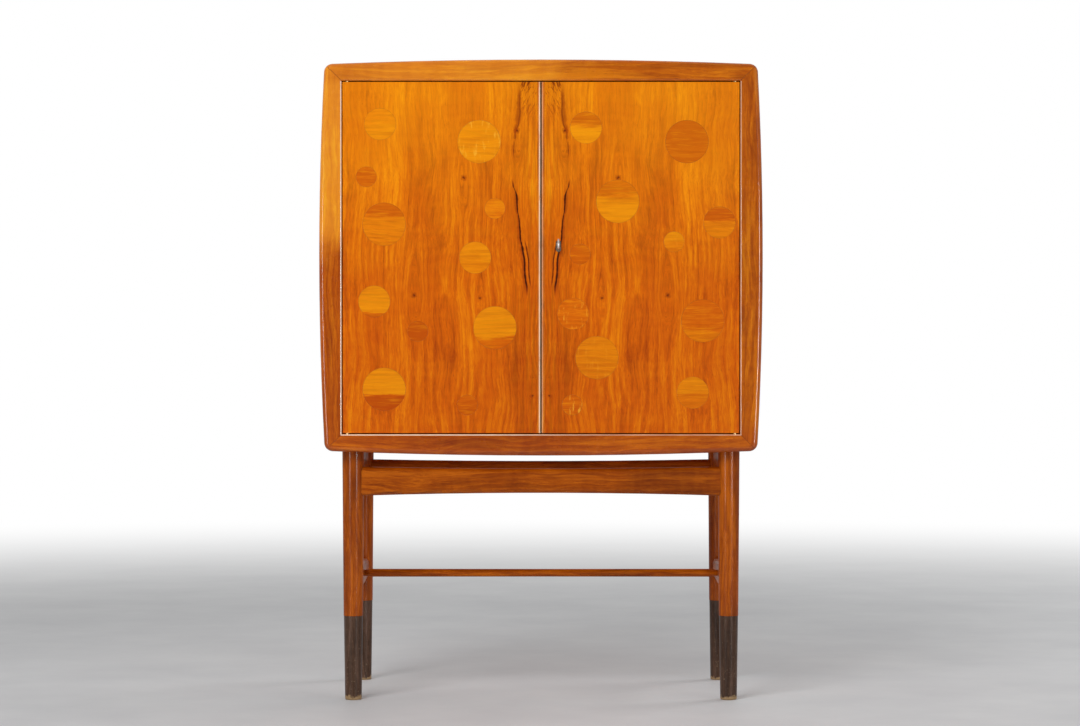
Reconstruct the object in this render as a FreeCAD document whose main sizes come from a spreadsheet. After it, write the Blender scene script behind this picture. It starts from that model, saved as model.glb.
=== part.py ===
import FreeCAD, Part
import os
import re

import Sketcher
from FreeCAD import Placement, Rotation, Vector

# Bar cabinet: a pillow-shaped case with two inlaid doors on a separate stretcher base.
# +X is right, +Y is back and +Z is up. The origin is the bottom centre of the bounding box.
# Lengths are in millimetres and angles in degrees.

SIZES = (
    # case
    ("case_width", 865, "case across its two side crowns"),
    ("case_height", 772, "case across its top and bottom crowns"),
    ("case_depth", 430, "front of the lippings to the back edge of the boards"),
    ("side_thickness", 44.5, "side board at its fullest"),
    ("board_thickness", 42.0, "top or bottom board at its fullest"),
    ("side_crown", 10.5, "rise of a side's outward curve"),
    ("board_crown", 9.0, "rise of the top's or bottom's outward curve"),
    ("corner_round", 17.0, "round on the case's long corners"),
    ("lipping_depth", 22.0, "solid front frame, front to back"),
    ("lipping_round", 9.0, "round on the frame's outer front edge"),
    ("rim_round", 4.0, "round on the frame's inner front edge"),
    ("back_round", 2.5, "round on the outer back edge"),
    ("back_thickness", 8.0, "back panel"),
    ("back_rebate", 12.0, "how far the back panel laps onto the boards"),
    ("back_play", 0.4, "gap round the back panel"),
    # interior
    ("partition_thickness", 18.0, "centre partition"),
    ("groove_depth", 6.0, "partition's housing in top and bottom"),
    ("partition_setback", 3.0, "partition's front behind the doors"),
    ("shelf_thickness", 16.0, "loose shelf"),
    ("shelf_play", 0.8, "shelf to the wall beside it"),
    ("left_shelf_setback", 24.0, "left shelves' front behind the door"),
    ("right_shelf_setback", 66.0, "right shelves' front behind the door"),
    ("left_lower_rise", 220.0, "underside above the bottom board"),
    ("left_upper_rise", 450.0, "underside above the bottom board"),
    ("right_lower_rise", 225.0, "underside above the bottom board"),
    ("right_upper_rise", 552.0, "underside above the bottom board"),
    ("pin_radius", 3.0, "shelf pin"),
    ("pin_bed", 9.0, "shelf pin's length in the wood"),
    ("pin_reach", 8.0, "shelf pin's length under the shelf"),
    ("pin_inset", 45.0, "shelf pin from the shelf's front or back edge"),
    ("bumper_radius", 3.5, "felt bumper on the partition"),
    ("bumper_gap", 0.3, "bumper to the closed door"),
    ("bumper_end", 60.0, "bumper from the partition's end"),
    # doors
    ("door_thickness", 20.0, "door"),
    ("door_recess", 4.0, "door's face behind the front of the frame"),
    ("side_gap", 1.5, "door to the side of the opening"),
    ("end_gap", 2.0, "door to the top or bottom of the opening"),
    ("meeting_gap", 2.0, "between the two doors"),
    ("edging_width", 6.0, "solid lipping on a door's free edge"),
    ("edging_round", 1.5, "round on the lipping's front corner"),
    ("inlay_depth", 1.0, "round inlay's thickness"),
    ("inlay_gap", 0.05, "inlay to its pocket"),
    ("inlay_large", 42.0, "radius"),
    ("inlay_middle", 31.0, "radius"),
    ("inlay_small", 20.0, "radius"),
    # knife hinges
    ("pivot_inset", 10.0, "pivot from the side of the opening"),
    ("pivot_depth", 5.0, "pivot behind the door's face"),
    ("leaf_length", 52.0, "hinge leaf past the pivot"),
    ("leaf_width", 8.0, "hinge leaf"),
    ("leaf_thickness", 2.5, "hinge leaf"),
    ("hinge_pin_radius", 2.0, "hinge pin"),
    ("collar_radius", 3.4, "spacer between the leaves"),
    ("running_gap", 0.05, "radial play of a turning pin"),
    ("end_play", 0.1, "play between faces that slide past each other"),
    # lock, key and keeper
    ("key_inset", 33.0, "key's axis from the door's free edge"),
    ("key_rise", 370.0, "key's axis above the bottom of the opening"),
    ("key_reach", 26.0, "key's bow in front of the door's face"),
    ("key_radius", 2.5, "key's shank"),
    ("bow_radius", 10.5, "key's bow"),
    ("bow_hole", 6.5, "hole in the bow, radius"),
    ("bow_thickness", 4.0, "key's bow"),
    ("bow_round", 1.4, "round on the bow's edges"),
    ("key_collar_radius", 3.4, "collar on the shank"),
    ("key_collar_length", 2.0, "collar on the shank"),
    ("key_collar_gap", 2.0, "collar to the door's face"),
    ("bit_reach", 9.0, "key's bit from the axis"),
    ("bit_thickness", 2.4, "key's bit"),
    ("lock_length", 48.0, "lock case from the free edge"),
    ("lock_below", 15.0, "lock case under the key's axis"),
    ("lock_above", 27.0, "lock case over the key's axis"),
    ("lock_front", 5.0, "lock case behind the door's face"),
    ("lock_thickness", 10.0, "lock case"),
    ("lock_wall", 1.5, "lock case's front and back walls"),
    ("chamber_gap", 1.2, "bit to the wall of its chamber"),
    ("bolt_rise", 13.0, "bolt's underside over the key's axis"),
    ("bolt_height", 9.0, "lock bolt"),
    ("bolt_thickness", 5.0, "lock bolt"),
    ("bolt_length", 34.0, "lock bolt"),
    ("bolt_round", 1.0, "round on the bolt's nose"),
    ("bolt_sink", 0.5, "drawn bolt inside the free edge"),
    ("bolt_travel", 8.0, "lock bolt's travel"),
    ("bolt_play", 0.2, "bolt to its channel"),
    ("keeper_thickness", 2.0, "keeper plate"),
    ("keeper_width", 12.0, "keeper plate"),
    ("keeper_height", 58.0, "keeper plate"),
    ("keeper_play", 0.8, "bolt to the keeper's slot"),
    ("escutcheon_radius", 5.0, "keyhole plate's rounded ends"),
    ("escutcheon_length", 13.0, "between the centres of its ends"),
    ("escutcheon_rise", 3.0, "centre of its upper end over the key's axis"),
    ("escutcheon_thickness", 1.2, "keyhole plate"),
    ("escutcheon_proud", 0.5, "keyhole plate over the door's face"),
    ("keyhole_gap", 0.4, "keyhole slot round the bit"),
    # slide bolt on the left door
    ("slide_inset", 32.0, "slide bolt from the free edge"),
    ("slide_radius", 3.0, "slide bolt"),
    ("slide_length", 62.0, "slide bolt"),
    ("slide_lift", 3.0, "drawn bolt's tip over the door's bottom edge"),
    ("slide_travel", 10.0, "slide bolt's travel"),
    ("slide_offset", 6.5, "slide bolt's axis behind the door"),
    ("socket_play", 0.5, "slide bolt to the walls of its square socket"),
    ("socket_clear", 4.0, "socket's floor under the thrown bolt"),
    ("guide_width", 18.0, "slide bolt's plate"),
    ("guide_height", 54.0, "slide bolt's plate"),
    ("guide_plate", 1.5, "slide bolt's plate"),
    ("guide_lift", 8.0, "plate over the door's bottom edge"),
    ("guide_play", 1.0, "knob to the upper staple"),
    ("staple_width", 11.0, "slide bolt's staple"),
    ("staple_height", 8.0, "slide bolt's staple"),
    ("knob_radius", 3.2, "slide bolt's knob"),
    ("knob_reach", 9.0, "slide bolt's knob past its axis"),
    # fold-out shelf on the right door
    ("flap_width", 280.0, "fold-out shelf"),
    ("flap_reach", 220.0, "fold-out shelf past its pivot"),
    ("flap_tail", 28.0, "fold-out shelf behind its pivot"),
    ("flap_thickness", 14.0, "fold-out shelf"),
    ("flap_lean", 4.0, "stored shelf leans towards the door, degrees"),
    ("flap_lipping", 8.0, "solid strip on the shelf's free edge"),
    ("flap_round", 4.0, "round on the shelf's free edge"),
    ("flap_play", 0.8, "shelf to each cheek"),
    ("flap_rise", 312.0, "pivot over the bottom of the opening"),
    ("flap_offset", 30.0, "pivot behind the door"),
    ("flap_pin_radius", 4.0, "pivot pin"),
    ("flap_pin_bed", 10.0, "pivot pin's length in the cheek"),
    ("flap_pin_reach", 14.0, "pivot pin's length in the shelf"),
    ("cheek_thickness", 14.0, "cheek"),
    ("cheek_depth", 56.0, "cheek behind the door"),
    ("cheek_above", 55.0, "cheek over the pivot"),
    ("cheek_below", 45.0, "cheek under the pivot"),
    ("cheek_round", 22.0, "cheek's rounded corners"),
    ("stop_depth", 14.0, "stop rail behind the door"),
    ("stop_height", 20.0, "stop rail"),
    ("stop_gap", 0.3, "open shelf to the stop rail"),
    ("rest_setback", 25.0, "rest pad from the shelf's free edge"),
    ("rest_radius", 8.0, "rest pad"),
    ("rest_gap", 0.25, "stored shelf to its rest pads"),
    ("rest_inset", 50.0, "rest pad from the shelf's side edge"),
    # base
    ("base_height", 480.5, "floor to the lowest point of the case"),
    ("leg_inset", 64.0, "leg's axis from the side of the case"),
    ("leg_setback", 45.0, "leg's axis from the front or back of the case"),
    ("leg_top_radius", 21.4, "leg where it meets the case"),
    ("leg_ankle_radius", 19.1, "leg over its shoe"),
    ("shoe_top_radius", 18.6, "shoe under the leg"),
    ("shoe_foot_radius", 16.4, "shoe at the floor"),
    ("shoe_height", 165.0, "shoe"),
    ("shoe_round", 1.5, "round on the shoe's bottom edge"),
    ("dowel_radius", 8.0, "dowel from the leg into its shoe"),
    ("dowel_length", 40.0, "dowel"),
    ("seat_gap", 0.2, "between shaped shoulders"),
    ("rail_thickness", 26.0, "front and back rails"),
    ("rail_height", 57.5, "front and back rails at the legs"),
    ("rail_drop", 23.0, "rail's top at the legs under the case's lowest point"),
    ("rail_top_dip", 4.0, "hollow of the rail's top edge"),
    ("rail_bottom_rise", 6.0, "hollow of the rail's bottom edge"),
    ("rail_round", 8.0, "round along a rail"),
    ("side_rail_thickness", 24.0, "side rails"),
    ("side_rail_drop", 50.0, "side rail's underside under the case's lowest point"),
    ("side_rail_round", 5.0, "round along a side rail's lower edges"),
    ("tenon_thickness", 10.0, "tenon"),
    ("tenon_height", 34.0, "tenon"),
    ("tenon_stop", 6.0, "tenon's end from the leg's axis"),
    ("tenon_play", 0.1, "tenon to its mortise"),
    ("stretcher_rise", 235.0, "stretchers' axis over the floor"),
    ("stretcher_thickness", 25.0, "side stretcher"),
    ("stretcher_height", 50.0, "side stretcher at its middle"),
    ("stretcher_crown", 9.0, "rise of its upper and lower curve"),
    ("stretcher_round", 9.0, "round along a side stretcher"),
    ("round_tenon_radius", 7.0, "side stretcher's round tenon"),
    ("spindle_radius", 7.7, "long stretcher at its middle"),
    ("spindle_full_radius", 8.0, "long stretcher at its fullest"),
    ("spindle_taper", 14.0, "its fullest place from the side stretcher"),
    ("spindle_shoulder_radius", 6.0, "long stretcher at the side stretcher"),
    ("spindle_tenon_radius", 4.5, "long stretcher's tenon"),
    ("spindle_tenon", 12.0, "long stretcher's tenon"),
    # screws
    ("screw_radius", 1.8, "wood screw"),
    ("screw_head_radius", 3.6, "wood screw's head"),
    ("screw_head", 2.2, "wood screw's head"),
    ("back_screw_length", 22.0, "screw in the back panel"),
    ("back_screw_edge", 6.0, "screw from the panel's edge"),
    ("case_screw_bite", 18.0, "case screw's length in the bottom board"),
    ("case_screw_radius", 3.0, "case screw"),
    ("case_screw_head_radius", 6.0, "case screw's head"),
    ("case_screw_head", 3.5, "case screw's head"),
    ("case_screw_inset", 60.0, "case screw from the leg's axis"),
    ("case_screw_counterbore", 14.0, "case screw's head inside the side rail"),
    ("leaf_screw_radius", 1.2, "hinge screw"),
    ("leaf_screw_head_radius", 2.3, "hinge screw's head"),
    ("leaf_screw_head", 1.5, "hinge screw's head"),
    ("leaf_screw_length", 14.0, "hinge screw"),
)

# Round inlays: share of the door's width from its left edge, share of its height, and size.
LEFT_INLAYS = (
    (0.19, 0.88, "inlay_middle"),
    (0.69, 0.83, "inlay_large"),
    (0.12, 0.73, "inlay_small"),
    (0.21, 0.595, "inlay_large"),
    (0.77, 0.64, "inlay_small"),
    (0.67, 0.50, "inlay_middle"),
    (0.16, 0.375, "inlay_middle"),
    (0.38, 0.29, "inlay_small"),
    (0.77, 0.30, "inlay_large"),
    (0.21, 0.125, "inlay_large"),
    (0.63, 0.08, "inlay_small"),
)
RIGHT_INLAYS = (
    (0.225, 0.87, "inlay_middle"),
    (0.735, 0.83, "inlay_large"),
    (0.385, 0.66, "inlay_large"),
    (0.90, 0.60, "inlay_middle"),
    (0.67, 0.545, "inlay_small"),
    (0.195, 0.51, "inlay_small"),
    (0.16, 0.34, "inlay_middle"),
    (0.815, 0.32, "inlay_large"),
    (0.28, 0.215, "inlay_large"),
    (0.765, 0.115, "inlay_middle"),
    (0.155, 0.08, "inlay_small"),
)

# Screws along a hinge leaf and along each edge of the back panel, as shares of its length.
LEAF_SCREWS = (0.42, 0.86)
BACK_SCREWS = (-0.4, -0.14, 0.14, 0.4)

# A mitre's block reaches this many times the mitre's own depth past the opening.
MITRE_REACH = 3

# Edges are told apart to this distance, and one shorter than the second isn't a long edge.
SAME_PLACE = 0.01
LONG_EDGE = 1.0

# Rotations that turn a primitive's own Z axis along or against the row's X, Y or Z.
AXIS_TURNS = {
    "X": Rotation(Vector(0, 1, 0), 90),
    "-X": Rotation(Vector(0, 1, 0), -90),
    "Y": Rotation(Vector(1, 0, 0), -90),
    "-Y": Rotation(Vector(1, 0, 0), 90),
    "Z": Rotation(),
    "-Z": Rotation(Vector(1, 0, 0), 180),
}

doc = FreeCAD.newDocument("BarCabinet")
sheet = doc.addObject("Spreadsheet::Sheet", "Sizes")
for row, (alias, value, note) in enumerate(SIZES, start=1):
    sheet.set(f"A{row}", alias)
    sheet.set(f"B{row}", str(value))
    sheet.set(f"C{row}", note)
    sheet.setAlias(f"B{row}", alias)
doc.recompute()
NAMES = {alias for alias, value, note in SIZES}
pieces = []

# Places worked out from the sizes, as formulas.
FRONT = "((key_reach-door_recess-case_depth)/2)"
BACK = f"({FRONT}+case_depth)"
MIDDLE = f"({FRONT}+case_depth/2)"
OPEN_WIDTH = "(case_width-2*side_thickness)"
OPEN_HEIGHT = "(case_height-2*board_thickness)"
OPEN_LEFT = f"(-{OPEN_WIDTH}/2)"
OPEN_RIGHT = f"({OPEN_WIDTH}/2)"
OPEN_BOTTOM = "(base_height+board_thickness)"
OPEN_TOP = f"({OPEN_BOTTOM}+{OPEN_HEIGHT})"
CASE_MIDDLE = "(base_height+case_height/2)"
SIDE_MITRE = "(side_thickness-side_crown)"
BOARD_MITRE = "(board_thickness-board_crown)"
SIDE_RADIUS = "(((case_height/2-board_crown)^2+side_crown^2)/(2*side_crown))"
BOARD_RADIUS = "(((case_width/2-side_crown)^2+board_crown^2)/(2*board_crown))"
DOOR_FRONT = f"({FRONT}+door_recess)"
DOOR_BACK = f"({DOOR_FRONT}+door_thickness)"
DOOR_WIDTH = f"({OPEN_WIDTH}/2-side_gap-meeting_gap/2)"
DOOR_BOTTOM = f"({OPEN_BOTTOM}+end_gap)"
DOOR_TOP = f"({OPEN_TOP}-end_gap)"
DOOR_HEIGHT = f"({OPEN_HEIGHT}-2*end_gap)"
PIVOT_Y = f"({DOOR_FRONT}+pivot_depth)"
PIVOT_X = f"({OPEN_RIGHT}-pivot_inset)"
KEY_X = "(meeting_gap/2+key_inset)"
KEY_Z = f"({OPEN_BOTTOM}+key_rise)"
BACK_INNER = f"({BACK}-back_thickness)"
FLAP_X = f"({OPEN_WIDTH}/4)"
FLAP_Y = f"({DOOR_BACK}+flap_offset)"
FLAP_Z = f"({OPEN_BOTTOM}+flap_rise)"
CHEEK_GAP = "(flap_width/2+flap_play)"
LEG_TOP = "(base_height+board_crown)"
LEG_SPREAD = "(case_width/2-leg_inset)"
LEG_SPAN = "(case_depth/2-leg_setback)"
LEG_X = {"left": f"(-{LEG_SPREAD})", "right": LEG_SPREAD}
LEG_Y = {"front": f"({MIDDLE}-{LEG_SPAN})", "back": f"({MIDDLE}+{LEG_SPAN})"}
SPINDLE_HALF = f"({LEG_SPREAD}-stretcher_thickness/2)"
CASE_SCREW_Y = {
    "front": f"({LEG_Y['front']}+case_screw_inset)",
    "back": f"({LEG_Y['back']}-case_screw_inset)",
}
LOCK_Y = f"({DOOR_FRONT}+lock_front+lock_thickness/2)"
LOCK_Z = f"({KEY_Z}+(lock_above-lock_below)/2)"


def formula(text):
    """Return a formula for the document, with each size's name as a reference to the sheet."""
    return re.sub(r"[a-z_][a-z_0-9]*", lambda word: sized(word[0]), str(text))


def sized(word):
    """Return the sheet's reference for a size's name, and any other word as it is."""
    return f"Sizes.{word}" if word in NAMES else word


def bind(item, **formulas):
    """Tie properties of an object to formulas of the sizes."""
    for name, text in formulas.items():
        item.setExpression(name, formula(text))
    return item


def place(item, x=0, y=0, z=0, turn=None):
    """Put an object at a point given as formulas, turned by a rotation."""
    item.Placement = Placement(Vector(), turn or Rotation())
    for axis, text in (("x", x), ("y", y), ("z", z)):
        item.setExpression(f"Placement.Base.{axis}", formula(text))
    return item


def box(name, x, y, z, length, width, height):
    """Make a box from its lowest corner and its three sizes."""
    item = doc.addObject("Part::Box", name)
    bind(item, Length=length, Width=width, Height=height)
    return place(item, x, y, z)


def rod(name, axis, x, y, z, radius, length):
    """Make a cylinder that starts at a point and runs along X, Y or Z."""
    item = doc.addObject("Part::Cylinder", name)
    bind(item, Radius=radius, Height=length)
    return place(item, x, y, z, AXIS_TURNS[axis])


def cone(name, axis, x, y, z, start, end, length):
    """Make a cone that starts at a point and runs along X, Y or Z."""
    item = doc.addObject("Part::Cone", name)
    bind(item, Radius1=start, Radius2=end, Height=length)
    return place(item, x, y, z, AXIS_TURNS[axis])


def gather(name, members):
    """Keep several solids together as one object."""
    item = doc.addObject("Part::Compound", name)
    item.Links = members
    return item


def fuse(name, members):
    """Join solids that touch or overlap."""
    item = doc.addObject("Part::MultiFuse", name)
    item.Shapes = members
    return item


def meet(name, members):
    """Keep what all the solids share."""
    item = doc.addObject("Part::MultiCommon", name)
    item.Shapes = members
    return item


def cut(name, base, tools):
    """Take one or more solids away from a base."""
    item = doc.addObject("Part::Cut", name)
    item.Base = base
    item.Tool = tools[0] if len(tools) == 1 else fuse(f"{name}_tools", tools)
    return item


def size(alias):
    """Return a size from the sheet."""
    return float(sheet.get(alias))


def rounded(name, base, radius, chosen):
    """Round the edges of a base that a test on the edge chooses."""
    doc.recompute()
    item = doc.addObject("Part::Fillet", name)
    item.Base = base
    marked = [number for number, edge in enumerate(base.Shape.Edges, start=1) if chosen(edge)]
    item.Edges = [(number, radius, radius) for number in marked]
    return item


def along(edge, axis):
    """Say whether an edge runs along one axis, 0, 1 or 2, whatever its bend."""
    spans = (edge.BoundBox.XLength, edge.BoundBox.YLength, edge.BoundBox.ZLength)
    return spans[axis] == max(spans) and spans[axis] > LONG_EDGE


def lies_at(edge, axis, value):
    """Say whether both ends of an edge lie at one value of an axis, 0, 1 or 2."""
    return all(abs(corner.Point[axis] - value) < SAME_PLACE for corner in edge.Vertexes)


def piece(item, label):
    """Name a finished piece of the cabinet."""
    item.Label = label
    pieces.append(item)
    return item


def profile(body, name, corners):
    """Draw a closed outline of straight lines in a body's XZ plane, from formulas for its corners."""
    sketch = body.newObject("Sketcher::SketchObject", name)
    plane = [part for part in body.Origin.OriginFeatures if part.Role == "XZ_Plane"][0]
    sketch.AttachmentSupport = (plane, "")
    sketch.MapMode = "FlatFace"
    count = len(corners)
    rough = [Vector(index, index * index, 0) for index in range(1, count + 1)]
    for index in range(count):
        sketch.addGeometry(Part.LineSegment(rough[index], rough[(index + 1) % count]))
    for index in range(count):
        sketch.addConstraint(Sketcher.Constraint("Coincident", index, 2, (index + 1) % count, 1))
    for index, corner in enumerate(corners):
        for kind, text in zip(("DistanceX", "DistanceY"), corner):
            number = sketch.addConstraint(Sketcher.Constraint(kind, -1, 1, index, 1, 1.0))
            sketch.setExpression(f"Constraints[{number}]", formula(text))
    return sketch


def turned(name, corners, x, y, z, turn=None):
    """Make a turned piece from its half outline: radius and height of each corner."""
    body = doc.addObject("PartDesign::Body", name)
    sketch = profile(body, f"{name}_outline", corners)
    lathe = body.newObject("PartDesign::Revolution", f"{name}_turning")
    lathe.Profile = sketch
    lathe.ReferenceAxis = (sketch, ["V_Axis"])
    lathe.Angle = 360
    sketch.Visibility = False
    body.Tip = lathe
    return place(body, x, y, z, turn)


def screw(name, heading, x, y, z, length, kind="screw"):
    """Make a countersunk screw with its head flush at a point, driven in the given direction."""
    head = cone(
        f"{name}_head", heading, x, y, z, f"{kind}_head_radius", f"{kind}_radius", f"{kind}_head"
    )
    shank = rod(f"{name}_shank", heading, x, y, z, f"{kind}_radius", length)
    return fuse(name, [head, shank])


def crown(name, side, swell=0):
    """Make the great cylinder whose face is one crowned side of the case."""
    flank = side in ("left", "right")
    radius = SIDE_RADIUS if flank else BOARD_RADIUS
    centres = {
        "left": (f"{radius}-case_width/2", CASE_MIDDLE),
        "right": (f"case_width/2-{radius}", CASE_MIDDLE),
        "top": (0, f"base_height+case_height-{radius}"),
        "bottom": (0, f"base_height+{radius}"),
    }
    x, z = centres[side]
    barrel = rod(name, "Y", x, FRONT, z, f"{radius}+{swell}", "case_depth")
    seam_away = Rotation(Vector(0, 0, 1), 180 if side == "right" else 0)
    return place(barrel, x, FRONT, z, AXIS_TURNS["Y"] * seam_away)


def mitre_block(name, side, start, depth):
    """Make the block between two mitres that one member of the case is cut from."""
    flank = side in ("left", "right")
    half, spread = (OPEN_HEIGHT, BOARD_MITRE) if flank else (OPEN_WIDTH, SIDE_MITRE)
    rise = SIDE_MITRE if flank else BOARD_MITRE
    block = doc.addObject("Part::Wedge", name)
    bind(block, Xmin=f"-{half}/2", Xmax=f"{half}/2", Ymin=0, Ymax=f"{MITRE_REACH}*{rise}")
    far = f"{half}/2+{MITRE_REACH}*{spread}"
    bind(block, X2min=f"-({far})", X2max=far)
    bind(block, Zmin=f"-{start}-{depth}", Zmax=f"-{start}")
    bind(block, Z2min=f"-{start}-{depth}", Z2max=f"-{start}")
    seats = {
        "top": (0, OPEN_TOP, 0),
        "right": (OPEN_RIGHT, CASE_MIDDLE, 90),
        "bottom": (0, OPEN_BOTTOM, 180),
        "left": (OPEN_LEFT, CASE_MIDDLE, 270),
    }
    x, z, angle = seats[side]
    turn = Rotation(Vector(0, 1, 0), angle) * Rotation(Vector(1, 0, 0), 90)
    return place(block, x, 0, z, turn)


# ---------------------------------------------------------------- knife hinges


def leaf_blank(name, side, base):
    """Make a hinge leaf without holes: a bar with round ends that runs inwards from the pivot."""
    pivot = PIVOT_X if side == "right" else f"-{PIVOT_X}"
    far = f"{pivot}-leaf_length" if side == "right" else f"{pivot}+leaf_length"
    start = far if side == "right" else pivot
    thickness = "leaf_thickness"
    bar = box(
        f"{name}_bar", start, f"{PIVOT_Y}-leaf_width/2", base, "leaf_length", "leaf_width", thickness
    )
    near_end = rod(f"{name}_near", "Z", pivot, PIVOT_Y, base, "leaf_width/2", thickness)
    far_end = rod(f"{name}_far", "Z", far, PIVOT_Y, base, "leaf_width/2", thickness)
    return fuse(name, [bar, near_end, far_end])


def leaf_screws(name, side, face, heading):
    """Make the two screws of a hinge leaf, flush with its open face."""
    sign = "-" if side == "right" else "+"
    pivot = PIVOT_X if side == "right" else f"-{PIVOT_X}"
    screws = []
    for number, share in enumerate(LEAF_SCREWS, start=1):
        x = f"{pivot}{sign}leaf_length*{share}"
        item = screw(
            f"{name}_{number}", heading, x, PIVOT_Y, face, "leaf_screw_length", "leaf_screw"
        )
        screws.append(item)
    return screws


hinges = {}
for side in ("left", "right"):
    for end in ("top", "bottom"):
        name = f"{side}_{end}_hinge"
        pivot = PIVOT_X if side == "right" else f"-{PIVOT_X}"
        top = end == "top"
        case_face = OPEN_TOP if top else OPEN_BOTTOM
        case_base = OPEN_TOP if top else f"{OPEN_BOTTOM}-leaf_thickness"
        door_face = DOOR_TOP if top else DOOR_BOTTOM
        door_base = f"{DOOR_TOP}-leaf_thickness" if top else DOOR_BOTTOM
        into_case, into_door = ("Z", "-Z") if top else ("-Z", "Z")
        case_blank = leaf_blank(f"{name}_case_blank", side, case_base)
        door_blank = leaf_blank(f"{name}_door_blank", side, door_base)
        case_screws = leaf_screws(f"{name}_case_screw", side, case_face, into_case)
        door_screws = leaf_screws(f"{name}_door_screw", side, door_face, into_door)
        collar = rod(
            f"{name}_collar", into_door, pivot, PIVOT_Y, case_face, "collar_radius", "end_gap-end_play"
        )
        pin = rod(
            f"{name}_pin",
            into_door,
            pivot,
            PIVOT_Y,
            case_face,
            "hinge_pin_radius",
            "end_gap+leaf_thickness-end_play",
        )
        plate = cut(f"{name}_case_plate", case_blank, case_screws)
        bore = rod(
            f"{name}_bore",
            "Z",
            pivot,
            PIVOT_Y,
            door_base,
            "hinge_pin_radius+running_gap",
            "leaf_thickness",
        )
        hinges[side, end] = {
            "case_leaf": fuse(f"{name}_case_leaf", [plate, collar, pin]),
            "door_leaf": cut(f"{name}_door_leaf", door_blank, [bore] + door_screws),
            "case_screws": case_screws,
            "door_screws": door_screws,
            "case_cut": [case_blank] + case_screws,
            "door_cut": [door_blank] + door_screws,
        }

piece(gather("case_leaves", [hinge["case_leaf"] for hinge in hinges.values()]), "case_hinge_leaves")
piece(
    gather("case_leaf_screws", sum([hinge["case_screws"] for hinge in hinges.values()], [])),
    "case_hinge_screws",
)

# ---------------------------------------------------------------- interior

PARTITION_FRONT = f"({DOOR_BACK}+partition_setback)"
PARTITION_DEPTH = f"({BACK_INNER}-{PARTITION_FRONT})"
PARTITION_LEFT = "(-partition_thickness/2)"
PARTITION_RIGHT = "(partition_thickness/2)"

SHELVES = (
    ("left_lower_shelf", "left", "left_lower_rise", "left_shelf_setback"),
    ("left_upper_shelf", "left", "left_upper_rise", "left_shelf_setback"),
    ("right_lower_shelf", "right", "right_lower_rise", "right_shelf_setback"),
    ("right_upper_shelf", "right", "right_upper_rise", "right_shelf_setback"),
)
wall_pins = {"left": [], "right": []}
partition_pins = []
for name, side, rise, setback in SHELVES:
    start, end = (OPEN_LEFT, PARTITION_LEFT) if side == "left" else (PARTITION_RIGHT, OPEN_RIGHT)
    front = f"({DOOR_BACK}+{setback})"
    back = f"({BACK_INNER}-shelf_play)"
    base = f"({OPEN_BOTTOM}+{rise})"
    shelf = box(
        name,
        f"{start}+shelf_play",
        front,
        base,
        f"{end}-{start}-2*shelf_play",
        f"{back}-{front}",
        "shelf_thickness",
    )
    piece(shelf, name)
    for row, y in (("front", f"{front}+pin_inset"), ("back", f"{back}-pin_inset")):
        for at, x in (("start", f"{start}-pin_bed"), ("end", f"{end}-pin_reach")):
            pin = rod(
                f"{name}_{row}_{at}_pin",
                "X",
                x,
                y,
                f"{base}-pin_radius",
                "pin_radius",
                "pin_bed+pin_reach",
            )
            at_wall = (side == "left") == (at == "start")
            (wall_pins[side] if at_wall else partition_pins).append(pin)
piece(gather("all_shelf_pins", wall_pins["left"] + wall_pins["right"] + partition_pins), "shelf_pins")

partition_blank = box(
    "partition_blank",
    PARTITION_LEFT,
    PARTITION_FRONT,
    f"{OPEN_BOTTOM}-groove_depth",
    "partition_thickness",
    PARTITION_DEPTH,
    f"{OPEN_HEIGHT}+2*groove_depth",
)
piece(cut("partition", partition_blank, partition_pins), "partition")

bumpers = []
for end, z in (("lower", f"{OPEN_BOTTOM}+bumper_end"), ("upper", f"{OPEN_TOP}-bumper_end")):
    for side, x in (("left", "-partition_thickness/4"), ("right", "partition_thickness/4")):
        bumper = rod(
            f"{end}_{side}_bumper",
            "-Y",
            x,
            PARTITION_FRONT,
            z,
            "bumper_radius",
            "partition_setback-bumper_gap",
        )
        bumpers.append(bumper)
piece(gather("all_bumpers", bumpers), "door_bumpers")

# ---------------------------------------------------------------- case

back_screws = {"left": [], "right": [], "top": [], "bottom": []}
for number, share in enumerate(BACK_SCREWS, start=1):
    spots = {
        "left": (f"{OPEN_LEFT}-back_screw_edge", f"{CASE_MIDDLE}+{OPEN_HEIGHT}*{share}"),
        "right": (f"{OPEN_RIGHT}+back_screw_edge", f"{CASE_MIDDLE}+{OPEN_HEIGHT}*{share}"),
        "top": (f"{OPEN_WIDTH}*{share}", f"{OPEN_TOP}+back_screw_edge"),
        "bottom": (f"{OPEN_WIDTH}*{share}", f"{OPEN_BOTTOM}-back_screw_edge"),
    }
    for side, (x, z) in spots.items():
        driven = screw(f"{side}_back_screw_{number}", "-Y", x, BACK, z, "back_screw_length")
        back_screws[side].append(driven)
all_back_screws = sum(back_screws.values(), [])
piece(gather("all_back_screws", all_back_screws), "back_panel_screws")

back_blank = box(
    "back_panel_blank",
    f"{OPEN_LEFT}-back_rebate+back_play",
    BACK_INNER,
    f"{OPEN_BOTTOM}-back_rebate+back_play",
    f"{OPEN_WIDTH}+2*back_rebate-2*back_play",
    "back_thickness",
    f"{OPEN_HEIGHT}+2*back_rebate-2*back_play",
)
piece(cut("back_panel", back_blank, all_back_screws), "back_panel")

case_screws = {}
for side, x in LEG_X.items():
    for row, y in CASE_SCREW_Y.items():
        case_screws[side, row] = screw(
            f"{side}_{row}_case_screw",
            "Z",
            x,
            y,
            "base_height-side_rail_drop+case_screw_counterbore",
            "side_rail_drop-case_screw_counterbore+board_crown+case_screw_bite",
            "case_screw",
        )
all_case_screws = list(case_screws.values())
piece(gather("all_case_screws", all_case_screws), "case_screws")

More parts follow.
